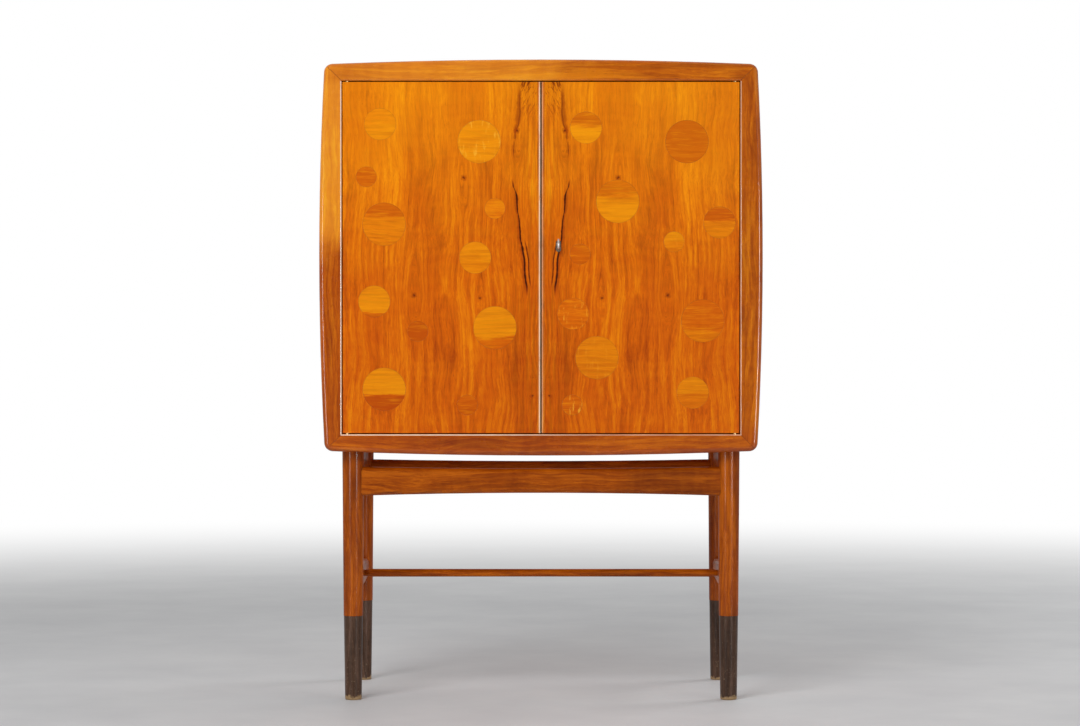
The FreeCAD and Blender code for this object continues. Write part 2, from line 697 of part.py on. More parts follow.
slide_x = "(-meeting_gap/2-slide_inset)"
slide_y = f"({DOOR_BACK}+slide_offset)"
socket_half = "(slide_radius+socket_play)"
socket_depth = "(slide_travel-slide_lift-end_gap+socket_clear)"
socket = box(
    "slide_bolt_socket",
    f"{slide_x}-{socket_half}",
    f"{slide_y}-{socket_half}",
    f"{OPEN_BOTTOM}-{socket_depth}",
    f"2*{socket_half}",
    f"2*{socket_half}",
    socket_depth,
)
grooves = {}
for end, z in (("top", OPEN_TOP), ("bottom", f"{OPEN_BOTTOM}-groove_depth")):
    grooves[end] = box(
        f"{end}_groove",
        PARTITION_LEFT,
        PARTITION_FRONT,
        z,
        "partition_thickness",
        PARTITION_DEPTH,
        "groove_depth",
    )
board_cuts = {
    "left": wall_pins["left"] + back_screws["left"],
    "right": wall_pins["right"] + back_screws["right"],
    "top": [grooves["top"]] + back_screws["top"],
    "bottom": [grooves["bottom"], socket] + back_screws["bottom"] + all_case_screws,
}

pillow = meet("case_pillow", [crown(f"{side}_crown", side) for side in board_cuts])
cornered = rounded("case_cornered", pillow, size("corner_round"), lambda edge: along(edge, 1))
front_plane = pillow.Shape.BoundBox.YMin
back_plane = pillow.Shape.BoundBox.YMax
softened = rounded(
    "case_front_softened",
    cornered,
    size("lipping_round"),
    lambda edge: lies_at(edge, 1, front_plane),
)
softened = rounded(
    "case_softened",
    softened,
    size("back_round"),
    lambda edge: lies_at(edge, 1, back_plane),
)
opening = box("opening", OPEN_LEFT, FRONT, OPEN_BOTTOM, OPEN_WIDTH, "case_depth", OPEN_HEIGHT)
rebate = box(
    "back_rebate",
    f"{OPEN_LEFT}-back_rebate",
    BACK_INNER,
    f"{OPEN_BOTTOM}-back_rebate",
    f"{OPEN_WIDTH}+2*back_rebate",
    "back_thickness",
    f"{OPEN_HEIGHT}+2*back_rebate",
)
ring = cut("case_ring", softened, [opening, rebate])
board_names = {
    "left": "left_side",
    "right": "right_side",
    "top": "top_board",
    "bottom": "bottom_board",
}
for side, tools in board_cuts.items():
    board_start = f"({FRONT}+lipping_depth)"
    board_depth = "(case_depth-lipping_depth)"
    board_block = mitre_block(f"{side}_board_block", side, board_start, board_depth)
    board = meet(f"{side}_board_blank", [ring, board_block])
    piece(cut(f"{side}_board", board, tools), board_names[side])

    lipping_block = mitre_block(f"{side}_lipping_block", side, FRONT, "lipping_depth")
    lipping = meet(f"{side}_lipping_blank", [ring, lipping_block])
    doc.recompute()
    long_axis = 2 if side in ("left", "right") else 0
    inner = {
        "left": lambda edge: edge.BoundBox.XMin,
        "right": lambda edge: -edge.BoundBox.XMax,
        "top": lambda edge: -edge.BoundBox.ZMax,
        "bottom": lambda edge: edge.BoundBox.ZMin,
    }[side]
    at_front = [
        edge
        for edge in lipping.Shape.Edges
        if along(edge, long_axis) and lies_at(edge, 1, front_plane)
    ]
    rim = max(at_front, key=inner)
    lipping = rounded(
        f"{side}_lipping_rimmed", lipping, size("rim_round"), lambda edge: edge.isSame(rim)
    )
    if side in ("top", "bottom"):
        mortises = hinges["left", side]["case_cut"] + hinges["right", side]["case_cut"]
        lipping = cut(f"{side}_lipping_mortised", lipping, mortises)
    piece(lipping, f"{side}_lipping")

# ---------------------------------------------------------------- doors

LEFT_DOOR_X = f"({OPEN_LEFT}+side_gap)"
RIGHT_DOOR_X = "(meeting_gap/2)"
PANEL_WIDTH = f"({DOOR_WIDTH}-edging_width)"


def inlay_rounds(side, start, spots):
    """Make a door's round inlays and the pockets that they lie in."""
    rounds = []
    pockets = []
    for number, (across, up, radius) in enumerate(spots, start=1):
        x = f"{start}+{DOOR_WIDTH}*{across}"
        z = f"{DOOR_BOTTOM}+{DOOR_HEIGHT}*{up}"
        name = f"{side}_inlay_{number}"
        rounds.append(rod(name, "Y", x, DOOR_FRONT, z, radius, "inlay_depth"))
        pocket_radius = f"{radius}+inlay_gap"
        pockets.append(rod(f"{name}_pocket", "Y", x, DOOR_FRONT, z, pocket_radius, "inlay_depth"))
    return rounds, pockets


def door_edging(side, start, tools):
    """Make the solid lipping on a door's free edge, with its front corner rounded."""
    blank = box(
        f"{side}_edging_blank",
        start,
        DOOR_FRONT,
        DOOR_BOTTOM,
        "edging_width",
        "door_thickness",
        DOOR_HEIGHT,
    )
    doc.recompute()
    free = max if side == "left" else min
    front = blank.Shape.BoundBox.YMin
    upright = [
        edge for edge in blank.Shape.Edges if along(edge, 2) and lies_at(edge, 1, front)
    ]
    corner = free(upright, key=lambda edge: edge.BoundBox.XMax)
    eased = rounded(
        f"{side}_edging_eased", blank, size("edging_round"), lambda edge: edge.isSame(corner)
    )
    return piece(cut(f"{side}_edging_cut", eased, tools), f"{side}_door_edging")


def hang(side):
    """Name a door's two hinge leaves and their screws as pieces of the door."""
    pair = [hinges[side, end] for end in ("top", "bottom")]
    leaves = gather(f"{side}_leaves", [hinge["door_leaf"] for hinge in pair])
    piece(leaves, f"{side}_door_hinge_leaves")
    screws = gather(f"{side}_leaf_screws", sum([hinge["door_screws"] for hinge in pair], []))
    piece(screws, f"{side}_door_hinge_screws")


# keyhole, lock case and bolt, in the right door's free edge
keyhole_slot = box(
    "keyhole_slot",
    f"{KEY_X}-bit_thickness/2-keyhole_gap",
    f"{DOOR_FRONT}-escutcheon_proud",
    f"{KEY_Z}-bit_reach-keyhole_gap",
    "bit_thickness+2*keyhole_gap",
    "escutcheon_proud+lock_front+lock_wall",
    "bit_reach+keyhole_gap",
)
keyhole_round = rod(
    "keyhole_round",
    "Y",
    KEY_X,
    f"{DOOR_FRONT}-escutcheon_proud",
    KEY_Z,
    "key_radius+keyhole_gap",
    "escutcheon_proud+lock_front",
)
escutcheon_parts = []
for end, z in (("upper", "0"), ("lower", "-escutcheon_length")):
    escutcheon_parts.append(
        rod(
            f"escutcheon_{end}",
            "Y",
            KEY_X,
            f"{DOOR_FRONT}-escutcheon_proud",
            f"{KEY_Z}+escutcheon_rise+{z}",
            "escutcheon_radius",
            "escutcheon_thickness",
        )
    )
escutcheon_parts.append(
    box(
        "escutcheon_middle",
        f"{KEY_X}-escutcheon_radius",
        f"{DOOR_FRONT}-escutcheon_proud",
        f"{KEY_Z}+escutcheon_rise-escutcheon_length",
        "2*escutcheon_radius",
        "escutcheon_thickness",
        "escutcheon_length",
    )
)
escutcheon_blank = fuse("escutcheon_blank", escutcheon_parts)
piece(cut("escutcheon_plate", escutcheon_blank, [keyhole_slot, keyhole_round]), "escutcheon")

lock_box = box(
    "lock_box",
    RIGHT_DOOR_X,
    f"{DOOR_FRONT}+lock_front",
    f"{KEY_Z}-lock_below",
    "lock_length",
    "lock_thickness",
    "lock_below+lock_above",
)
lock_face = box(
    "lock_face",
    RIGHT_DOOR_X,
    f"{LOCK_Y}-keeper_width/2",
    f"{LOCK_Z}-keeper_height/2",
    "keeper_thickness",
    "keeper_width",
    "keeper_height",
)
lock_blank = fuse("lock_blank", [lock_box, lock_face])
bolt_channel = box(
    "bolt_channel",
    RIGHT_DOOR_X,
    f"{LOCK_Y}-bolt_thickness/2-bolt_play",
    f"{KEY_Z}+bolt_rise-bolt_play",
    "bolt_sink+bolt_length+bolt_play",
    "bolt_thickness+2*bolt_play",
    "bolt_height+2*bolt_play",
)
bit_chamber = rod(
    "bit_chamber",
    "Y",
    KEY_X,
    f"{DOOR_FRONT}+lock_front+lock_wall",
    KEY_Z,
    "bit_reach+chamber_gap",
    "lock_thickness-2*lock_wall",
)
shank_bore = rod(
    "shank_bore",
    "Y",
    KEY_X,
    f"{DOOR_FRONT}+lock_front",
    KEY_Z,
    "key_radius+running_gap",
    "lock_thickness",
)
lock_cuts = [bolt_channel, bit_chamber, shank_bore, keyhole_slot]
piece(cut("lock_body", lock_blank, lock_cuts), "lock_case")

bolt_blank = box(
    "bolt_blank",
    f"{RIGHT_DOOR_X}+bolt_sink",
    f"{LOCK_Y}-bolt_thickness/2",
    f"{KEY_Z}+bolt_rise",
    "bolt_length",
    "bolt_thickness",
    "bolt_height",
)
doc.recompute()
bolt_nose = bolt_blank.Shape.BoundBox.XMin
bolt_body = rounded(
    "bolt_body", bolt_blank, size("bolt_round"), lambda edge: lies_at(edge, 0, bolt_nose)
)
piece(bolt_body, "lock_bolt")

# key
bow = rod(
    "bow_disc",
    "X",
    f"{KEY_X}-bow_thickness/2",
    f"{DOOR_FRONT}-key_reach+bow_radius",
    KEY_Z,
    "bow_radius",
    "bow_thickness",
)
bow_eye = rod(
    "bow_eye",
    "X",
    f"{KEY_X}-bow_thickness/2",
    f"{DOOR_FRONT}-key_reach+bow_radius",
    KEY_Z,
    "bow_hole",
    "bow_thickness",
)
ring_key = rounded(
    "bow_eased",
    cut("bow_ring", bow, [bow_eye]),
    size("bow_round"),
    lambda edge: len(edge.Vertexes) == 1 and not along(edge, 0),
)
shank_start = f"({DOOR_FRONT}-key_reach+bow_radius+(bow_radius+bow_hole)/2)"
shank_end = f"({DOOR_FRONT}+lock_front+lock_thickness-end_play)"
shank = rod("shank", "Y", KEY_X, shank_start, KEY_Z, "key_radius", f"{shank_end}-{shank_start}")
collar = rod(
    "key_collar",
    "-Y",
    KEY_X,
    f"{DOOR_FRONT}-key_collar_gap",
    KEY_Z,
    "key_collar_radius",
    "key_collar_length",
)
bit = box(
    "key_bit",
    f"{KEY_X}-bit_thickness/2",
    f"{DOOR_FRONT}+lock_front+lock_wall+bolt_play",
    f"{KEY_Z}-bit_reach",
    "bit_thickness",
    "lock_thickness-2*lock_wall-2*bolt_play",
    "bit_reach",
)
piece(fuse("key_body", [ring_key, shank, collar, bit]), "key")

# right door
right_rounds, right_pockets = inlay_rounds("right", RIGHT_DOOR_X, RIGHT_INLAYS)
piece(gather("right_rounds", right_rounds), "right_door_inlays")
right_mortises = hinges["right", "top"]["door_cut"] + hinges["right", "bottom"]["door_cut"]
right_blank = box(
    "right_panel_blank",
    f"{RIGHT_DOOR_X}+edging_width",
    DOOR_FRONT,
    DOOR_BOTTOM,
    PANEL_WIDTH,
    "door_thickness",
    DOOR_HEIGHT,
)
lock_wood_cuts = [lock_blank, keyhole_slot, keyhole_round, escutcheon_blank]
right_tools = right_pockets + right_mortises + lock_wood_cuts
piece(cut("right_panel", right_blank, right_tools), "right_door_panel")
door_edging("right", RIGHT_DOOR_X, [lock_blank])
hang("right")

# left door, with the keeper for the lock bolt
keeper_x = "(-meeting_gap/2-keeper_thickness)"
keeper_blank = box(
    "keeper_blank",
    keeper_x,
    f"{LOCK_Y}-keeper_width/2",
    f"{LOCK_Z}-keeper_height/2",
    "keeper_thickness",
    "keeper_width",
    "keeper_height",
)
bolt_pocket = box(
    "bolt_pocket",
    "-bolt_travel-keeper_thickness",
    f"{LOCK_Y}-bolt_thickness/2-keeper_play",
    f"{KEY_Z}+bolt_rise-keeper_play",
    "bolt_travel+keeper_thickness-meeting_gap/2",
    "bolt_thickness+2*keeper_play",
    "bolt_height+2*keeper_play",
)
piece(cut("keeper", keeper_blank, [bolt_pocket]), "keeper_plate")

left_rounds, left_pockets = inlay_rounds("left", LEFT_DOOR_X, LEFT_INLAYS)
piece(gather("left_rounds", left_rounds), "left_door_inlays")
left_mortises = hinges["left", "top"]["door_cut"] + hinges["left", "bottom"]["door_cut"]
left_blank = box(
    "left_panel_blank",
    LEFT_DOOR_X,
    DOOR_FRONT,
    DOOR_BOTTOM,
    PANEL_WIDTH,
    "door_thickness",
    DOOR_HEIGHT,
)
left_tools = left_pockets + left_mortises + [bolt_pocket]
piece(cut("left_panel", left_blank, left_tools), "left_door_panel")
door_edging("left", "-meeting_gap/2-edging_width", [keeper_blank, bolt_pocket])
hang("left")

# slide bolt at the foot of the left door
slide_z = f"({DOOR_BOTTOM}+slide_lift)"
guide_z = f"({DOOR_BOTTOM}+guide_lift)"
slide_shaft = rod("slide_shaft", "Z", slide_x, slide_y, slide_z, "slide_radius", "slide_length")
knob = rod(
    "slide_knob",
    "Y",
    slide_x,
    slide_y,
    f"{guide_z}+guide_height-staple_height-knob_radius-guide_play",
    "knob_radius",
    "knob_reach",
)
piece(fuse("slide_bolt_body", [slide_shaft, knob]), "slide_bolt")
guide_parts = [
    box(
        "guide_back",
        f"{slide_x}-guide_width/2",
        DOOR_BACK,
        guide_z,
        "guide_width",
        "guide_plate",
        "guide_height",
    )
]
for end, z in (("lower", guide_z), ("upper", f"{guide_z}+guide_height-staple_height")):
    guide_parts.append(
        box(
            f"{end}_staple",
            f"{slide_x}-staple_width/2",
            DOOR_BACK,
            z,
            "staple_width",
            "slide_offset+staple_width/2",
            "staple_height",
        )
    )
guide_bore = rod(
    "guide_bore", "Z", slide_x, slide_y, guide_z, "slide_radius+running_gap", "guide_height"
)
piece(cut("guide", fuse("guide_blank", guide_parts), [guide_bore]), "slide_bolt_guide")

# ---------------------------------------------------------------- fold-out shelf

pivot_pins = []
flap_bores = []
for side, sign in (("left", "-"), ("right", "+")):
    outward = "-X" if side == "left" else "X"
    inward = "X" if side == "left" else "-X"
    pivot_pins.append(
        rod(
            f"{side}_pivot_pin",
            inward,
            f"{FLAP_X}{sign}({CHEEK_GAP}+flap_pin_bed)",
            FLAP_Y,
            FLAP_Z,
            "flap_pin_radius",
            "flap_pin_bed+flap_pin_reach",
        )
    )
    flap_bores.append(
        rod(
            f"{side}_flap_bore",
            inward,
            f"{sign}flap_width/2",
            0,
            0,
            "flap_pin_radius+running_gap",
            "flap_pin_reach",
        )
    )
    cheek_x = f"{FLAP_X}{sign}{CHEEK_GAP}" + ("-cheek_thickness" if side == "left" else "")
    cheek = box(
        f"{side}_cheek_blank",
        cheek_x,
        DOOR_BACK,
        f"{FLAP_Z}-cheek_below",
        "cheek_thickness",
        "cheek_depth",
        "cheek_below+cheek_above",
    )
    doc.recompute()
    cheek_back = cheek.Shape.BoundBox.YMax
    shaped = rounded(
        f"{side}_cheek_shaped",
        cheek,
        size("cheek_round"),
        lambda edge: along(edge, 0) and lies_at(edge, 1, cheek_back),
    )
    piece(cut(f"{side}_cheek_bored", shaped, [pivot_pins[-1]]), f"shelf_{side}_cheek")
piece(gather("both_pivot_pins", pivot_pins), "shelf_pivot_pins")

stop_rail = box(
    "stop_rail",
    f"{FLAP_X}-{CHEEK_GAP}",
    DOOR_BACK,
    f"{FLAP_Z}+flap_thickness/2+stop_gap",
    f"2*{CHEEK_GAP}",
    "stop_depth",
    "stop_height",
)
piece(stop_rail, "shelf_stop_rail")

rest_rise = "(flap_reach-rest_setback)"
lean_at_pad = f"flap_thickness/2/cos(flap_lean)+({rest_rise}+rest_radius)*tan(flap_lean)"
rest_height = f"flap_offset-({lean_at_pad})-rest_gap"
rest_pads = []
for side, sign in (("left", "-"), ("right", "+")):
    rest_pads.append(
        rod(
            f"{side}_rest_pad",
            "Y",
            f"{FLAP_X}{sign}(flap_width/2-rest_inset)",
            DOOR_BACK,
            f"{FLAP_Z}+{rest_rise}",
            "rest_radius",
            rest_height,
        )
    )
piece(gather("both_rest_pads", rest_pads), "shelf_rest_pads")

# the shelf is drawn upright round its pivot and then leaned towards the door
flap_blank = box(
    "flap_blank",
    "-flap_width/2",
    "-flap_thickness/2",
    "-flap_tail",
    "flap_width",
    "flap_thickness",
    "flap_tail+flap_reach-flap_lipping",
)
flap = cut("flap", flap_blank, flap_bores)
strip_blank = box(
    "flap_strip_blank",
    "-flap_width/2",
    "-flap_thickness/2",
    "flap_reach-flap_lipping",
    "flap_width",
    "flap_thickness",
    "flap_lipping",
)
doc.recompute()
strip_top = strip_blank.Shape.BoundBox.ZMax
strip = rounded(
    "flap_strip",
    strip_blank,
    size("flap_round"),
    lambda edge: along(edge, 0) and lies_at(edge, 2, strip_top),
)
for item, label in ((flap, "fold_shelf"), (strip, "fold_shelf_lipping")):
    place(item, FLAP_X, FLAP_Y, FLAP_Z, Rotation(Vector(1, 0, 0), 1))
    item.setExpression("Placement.Rotation.Angle", formula("flap_lean"))
    piece(item, label)

# ---------------------------------------------------------------- base


def leg_envelope(name, x, y):
    """Make the leg's cone, swollen by the seat gap, that shaped shoulders are cut with."""
    start = "leg_ankle_radius+seat_gap"
    end = "leg_top_radius+seat_gap"
    return cone(name, "Z", x, y, "shoe_height", start, end, f"{LEG_TOP}-shoe_height")


def tenon(name, axis, sign, x, y, z, play):
    """Make a flat tenon, or with play its mortise, that runs along X or Y from near a leg's axis."""
    half = f"(tenon_thickness/2+{play})"
    high = f"(tenon_height+2*{play})"
    run = f"(leg_top_radius+{play})"
    inner = f"(tenon_stop-{play})"
    low = f"{z}-{high}/2"
    if axis == "X":
        start = f"{x}+{inner}" if sign == "+" else f"{x}-{inner}-{run}"
        return box(name, start, f"{y}-{half}", low, run, f"2*{half}", high)
    start = f"{y}+{inner}" if sign == "+" else f"{y}-{inner}-{run}"
    return box(name, f"{x}-{half}", start, low, f"2*{half}", run, high)


def hollow(name, axis, x, y, centre, radius):
    """Make the great cylinder that a rail's hollow edge is cut with."""
    if axis == "Y":
        return rod(name, "Y", x, f"{y}-rail_thickness", centre, radius, "2*rail_thickness")
    half = "stretcher_thickness"
    return rod(name, "X", f"{x}-{half}", y, centre, radius, f"2*{half}")


RAIL_TOP = "(base_height-rail_drop)"
RAIL_MIDDLE = f"({RAIL_TOP}-rail_height/2)"
SIDE_RAIL_BASE = "(base_height-side_rail_drop)"
SIDE_RAIL_MIDDLE = "(base_height-side_rail_drop/2)"

bearing = crown("bearing_surface", "bottom", "seat_gap")
envelopes = {}
dowels = []
for side, x in LEG_X.items():
    for row, y in LEG_Y.items():
        name = f"{row}_{side}"
        envelopes[side, row] = leg_envelope(f"{name}_envelope", x, y)
        blank = turned(
            f"{name}_leg_blank",
            [
                ("0", "shoe_height"),
                ("leg_ankle_radius", "shoe_height"),
                ("leg_top_radius", LEG_TOP),
                ("0", LEG_TOP),
            ],
            x,
            y,
            0,
        )
        inward_x = "+" if side == "left" else "-"
        inward_y = "+" if row == "front" else "-"
        dowel = rod(
            f"{name}_dowel",
            "Z",
            x,
            y,
            "shoe_height-dowel_length/2",
            "dowel_radius",
            "dowel_length",
        )
        dowels.append(dowel)
        round_mortise = rod(
            f"{name}_round_mortise",
            "Y" if row == "front" else "-Y",
            x,
            f"{y}{inward_y}(tenon_stop-tenon_play)",
            "stretcher_rise",
            "round_tenon_radius+tenon_play",
            "leg_top_radius",
        )
        mortises = [
            tenon(f"{name}_rail_mortise", "X", inward_x, x, y, RAIL_MIDDLE, "tenon_play"),
            tenon(f"{name}_side_mortise", "Y", inward_y, x, y, SIDE_RAIL_MIDDLE, "tenon_play"),
            round_mortise,
        ]
        piece(cut(f"{name}_leg_cut", blank, [bearing, dowel] + mortises), f"{name}_leg")
        shoe = turned(
            f"{name}_shoe_blank",
            [
                ("0", "0"),
                ("shoe_foot_radius-shoe_round", "0"),
                ("shoe_foot_radius", "shoe_round"),
                ("shoe_top_radius", "shoe_height"),
                ("0", "shoe_height"),
            ],
            x,
            y,
            0,
        )
        piece(cut(f"{name}_shoe_cut", shoe, [dowel]), f"{name}_shoe")
piece(gather("all_dowels", dowels), "shoe_dowels")

for row, y in LEG_Y.items():
    blank = box(
        f"{row}_rail_blank",
        LEG_X["left"],
        f"{y}-rail_thickness/2",
        f"{RAIL_TOP}-rail_height",
        f"2*{LEG_SPREAD}",
        "rail_thickness",
        "rail_height",
    )
    top_radius = f"(({LEG_SPREAD}^2+rail_top_dip^2)/(2*rail_top_dip))"
    bottom_radius = f"(({LEG_SPREAD}^2+rail_bottom_rise^2)/(2*rail_bottom_rise))"
    top_centre = f"{RAIL_TOP}-rail_top_dip+{top_radius}"
    bottom_centre = f"{RAIL_TOP}-rail_height+rail_bottom_rise-{bottom_radius}"
    hollows = [
        hollow(f"{row}_rail_top_hollow", "Y", 0, y, top_centre, top_radius),
        hollow(f"{row}_rail_bottom_hollow", "Y", 0, y, bottom_centre, bottom_radius),
    ]
    shaped = cut(f"{row}_rail_shaped", blank, hollows)
    eased = rounded(f"{row}_rail_eased", shaped, size("rail_round"), lambda edge: along(edge, 0))
    coped = cut(f"{row}_rail_coped", eased, [envelopes["left", row], envelopes["right", row]])
    tenons = [
        tenon(f"{row}_rail_left_tenon", "X", "+", LEG_X["left"], y, RAIL_MIDDLE, "0"),
        tenon(f"{row}_rail_right_tenon", "X", "-", LEG_X["right"], y, RAIL_MIDDLE, "0"),
    ]
    piece(fuse(f"{row}_rail_body", [coped] + tenons), f"{row}_rail")

for side, x in LEG_X.items():
    blank = box(
        f"{side}_side_rail_blank",
        f"{x}-side_rail_thickness/2",
        LEG_Y["front"],
        SIDE_RAIL_BASE,
        "side_rail_thickness",
        f"2*{LEG_SPAN}",
        f"{LEG_TOP}-{SIDE_RAIL_BASE}",
    )
    doc.recompute()
    low = blank.Shape.BoundBox.ZMin
    eased = rounded(
        f"{side}_side_rail_eased",
        blank,
        size("side_rail_round"),
        lambda edge: along(edge, 1) and lies_at(edge, 2, low),
    )
    own = [envelopes[side, "front"], envelopes[side, "back"]]
    screw_cuts = []
    for row, y in CASE_SCREW_Y.items():
        well = rod(
            f"{side}_{row}_well",
            "Z",
            x,
            y,
            SIDE_RAIL_BASE,
            "case_screw_head_radius",
            "case_screw_counterbore",
        )
        screw_cuts += [well, case_screws[side, row]]
    coped = cut(f"{side}_side_rail_coped", eased, [bearing] + own + screw_cuts)
    tenons = [
        tenon(f"{side}_rail_front_tenon", "Y", "+", x, LEG_Y["front"], SIDE_RAIL_MIDDLE, "0"),
        tenon(f"{side}_rail_back_tenon", "Y", "-", x, LEG_Y["back"], SIDE_RAIL_MIDDLE, "0"),
    ]
    piece(fuse(f"{side}_side_rail_body", [coped] + tenons), f"{side}_side_rail")

    crown_radius = f"(({LEG_SPAN}^2+stretcher_crown^2)/(2*stretcher_crown))"
    lens = [
        box(
            f"{side}_stretcher_blank",
            f"{x}-stretcher_thickness/2",
            LEG_Y["front"],
            "stretcher_rise-stretcher_height/2",
            "stretcher_thickness",
            f"2*{LEG_SPAN}",
            "stretcher_height",
        )
    ]
    for edge_name, sign in (("upper", "-"), ("lower", "+")):
        other = "+" if sign == "-" else "-"
        centre = f"stretcher_rise{other}stretcher_height/2{sign}{crown_radius}"
        lens.append(hollow(f"{side}_{edge_name}_lens", "X", x, MIDDLE, centre, crown_radius))
    shaped = meet(f"{side}_stretcher_shaped", lens)
    eased = rounded(
        f"{side}_stretcher_eased", shaped, size("stretcher_round"), lambda edge: along(edge, 1)
    )
    spindle_mortise = rod(
        f"{side}_spindle_mortise",
        "-X" if side == "left" else "X",
        f"{x}{'+' if side == 'left' else '-'}stretcher_thickness/2",
        MIDDLE,
        "stretcher_rise",
        "spindle_tenon_radius",
        "spindle_tenon",
    )
    coped = cut(f"{side}_stretcher_coped", eased, own + [spindle_mortise])
    pegs = [
        rod(
            f"{side}_stretcher_front_peg",
            "Y",
            x,
            f"{LEG_Y['front']}+tenon_stop",
            "stretcher_rise",
            "round_tenon_radius",
            "leg_top_radius",
        ),
        rod(
            f"{side}_stretcher_back_peg",
            "-Y",
            x,
            f"{LEG_Y['back']}-tenon_stop",
            "stretcher_rise",
            "round_tenon_radius",
            "leg_top_radius",
        ),
    ]
    piece(fuse(f"{side}_stretcher_body", [coped] + pegs), f"{side}_stretcher")

spindle = turned(
    "spindle",
    [
        ("0", f"-{SPINDLE_HALF}-spindle_tenon"),
        ("spindle_tenon_radius", f"-{SPINDLE_HALF}-spindle_tenon"),
        ("spindle_tenon_radius", f"-{SPINDLE_HALF}"),
        ("spindle_shoulder_radius", f"-{SPINDLE_HALF}"),
        ("spindle_full_radius", f"-{SPINDLE_HALF}+spindle_taper"),
        ("spindle_radius", "0"),
        ("spindle_full_radius", f"{SPINDLE_HALF}-spindle_taper"),
        ("spindle_shoulder_radius", f"{SPINDLE_HALF}"),
        ("spindle_tenon_radius", f"{SPINDLE_HALF}"),
        ("spindle_tenon_radius", f"{SPINDLE_HALF}+spindle_tenon"),
        ("0", f"{SPINDLE_HALF}+spindle_tenon"),
    ],
    0,
    MIDDLE,
    "stretcher_rise",
    AXIS_TURNS["X"],
)
piece(spindle, "long_stretcher")

# ---------------------------------------------------------------- check and write

doc.recompute()
failed = [item.Name for item in doc.Objects if {"Invalid", "Error"} & set(item.State)]
if failed:
    raise RuntimeError(f"these objects failed: {failed}")
for item in pieces:
    if item.Shape.isNull() or not item.Shape.isValid() or not item.Shape.Solids:
        raise RuntimeError(f"{item.Label} has no valid solid")
os.makedirs("parts", exist_ok=True)
for item in pieces:
    item.Shape.exportStep(os.path.join("parts", f"{item.Label}.step"))
print(f"{len(pieces)} pieces written")
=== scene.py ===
"""Dresses the bar cabinet: inlaid doors, turned legs, fittings, finishes and the studio.

Lengths are in metres and angles in radians, in the frame's axes: X to the right, Y to the
back and Z up. A new piece is shaped in millimetres until it is done.
"""

import logging
import math
from dataclasses import dataclass
from enum import Enum
from functools import reduce
from typing import Sequence

import bmesh
import bpy
from mathutils import Matrix, Vector


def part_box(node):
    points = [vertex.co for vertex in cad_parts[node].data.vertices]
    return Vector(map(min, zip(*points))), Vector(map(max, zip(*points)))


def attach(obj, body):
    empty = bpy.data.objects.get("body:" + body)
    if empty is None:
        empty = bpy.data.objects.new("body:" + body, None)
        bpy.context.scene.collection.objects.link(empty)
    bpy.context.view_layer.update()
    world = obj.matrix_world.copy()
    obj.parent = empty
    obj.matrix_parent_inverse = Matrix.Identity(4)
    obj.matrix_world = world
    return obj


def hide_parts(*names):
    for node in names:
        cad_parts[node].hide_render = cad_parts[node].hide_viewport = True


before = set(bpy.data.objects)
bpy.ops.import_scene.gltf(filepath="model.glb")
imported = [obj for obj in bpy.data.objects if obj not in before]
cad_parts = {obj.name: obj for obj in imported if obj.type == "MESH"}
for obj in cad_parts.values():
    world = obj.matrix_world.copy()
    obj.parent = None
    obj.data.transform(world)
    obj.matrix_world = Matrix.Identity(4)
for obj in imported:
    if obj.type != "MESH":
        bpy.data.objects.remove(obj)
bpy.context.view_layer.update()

LOG = logging.getLogger("bar_cabinet")
MM = 0.001

Colour = tuple[float, float, float]
Span = tuple[float, float]
Socket = bpy.types.NodeSocket

WHITE: Colour = (1.0, 1.0, 1.0)


def shade(code: str) -> Colour:
    """Turn a hex colour into linear light.

    Args:
        code: Six hex digits, red first.

    Returns:
        Linear red, green and blue.
    """
    parts = [int(code[start : start + 2], 16) / 255 for start in (0, 2, 4)]
    red, green, blue = [
        part / 12.92 if part <= 0.04045 else ((part + 0.055) / 1.055) ** 2.4 for part in parts
    ]
    return red, green, blue


def shades(codes: str) -> tuple[Colour, ...]:
    """Turn several hex colours into linear light."""
    return tuple(shade(code) for code in codes.split())


# ---------------------------------------------------------------- shader graphs


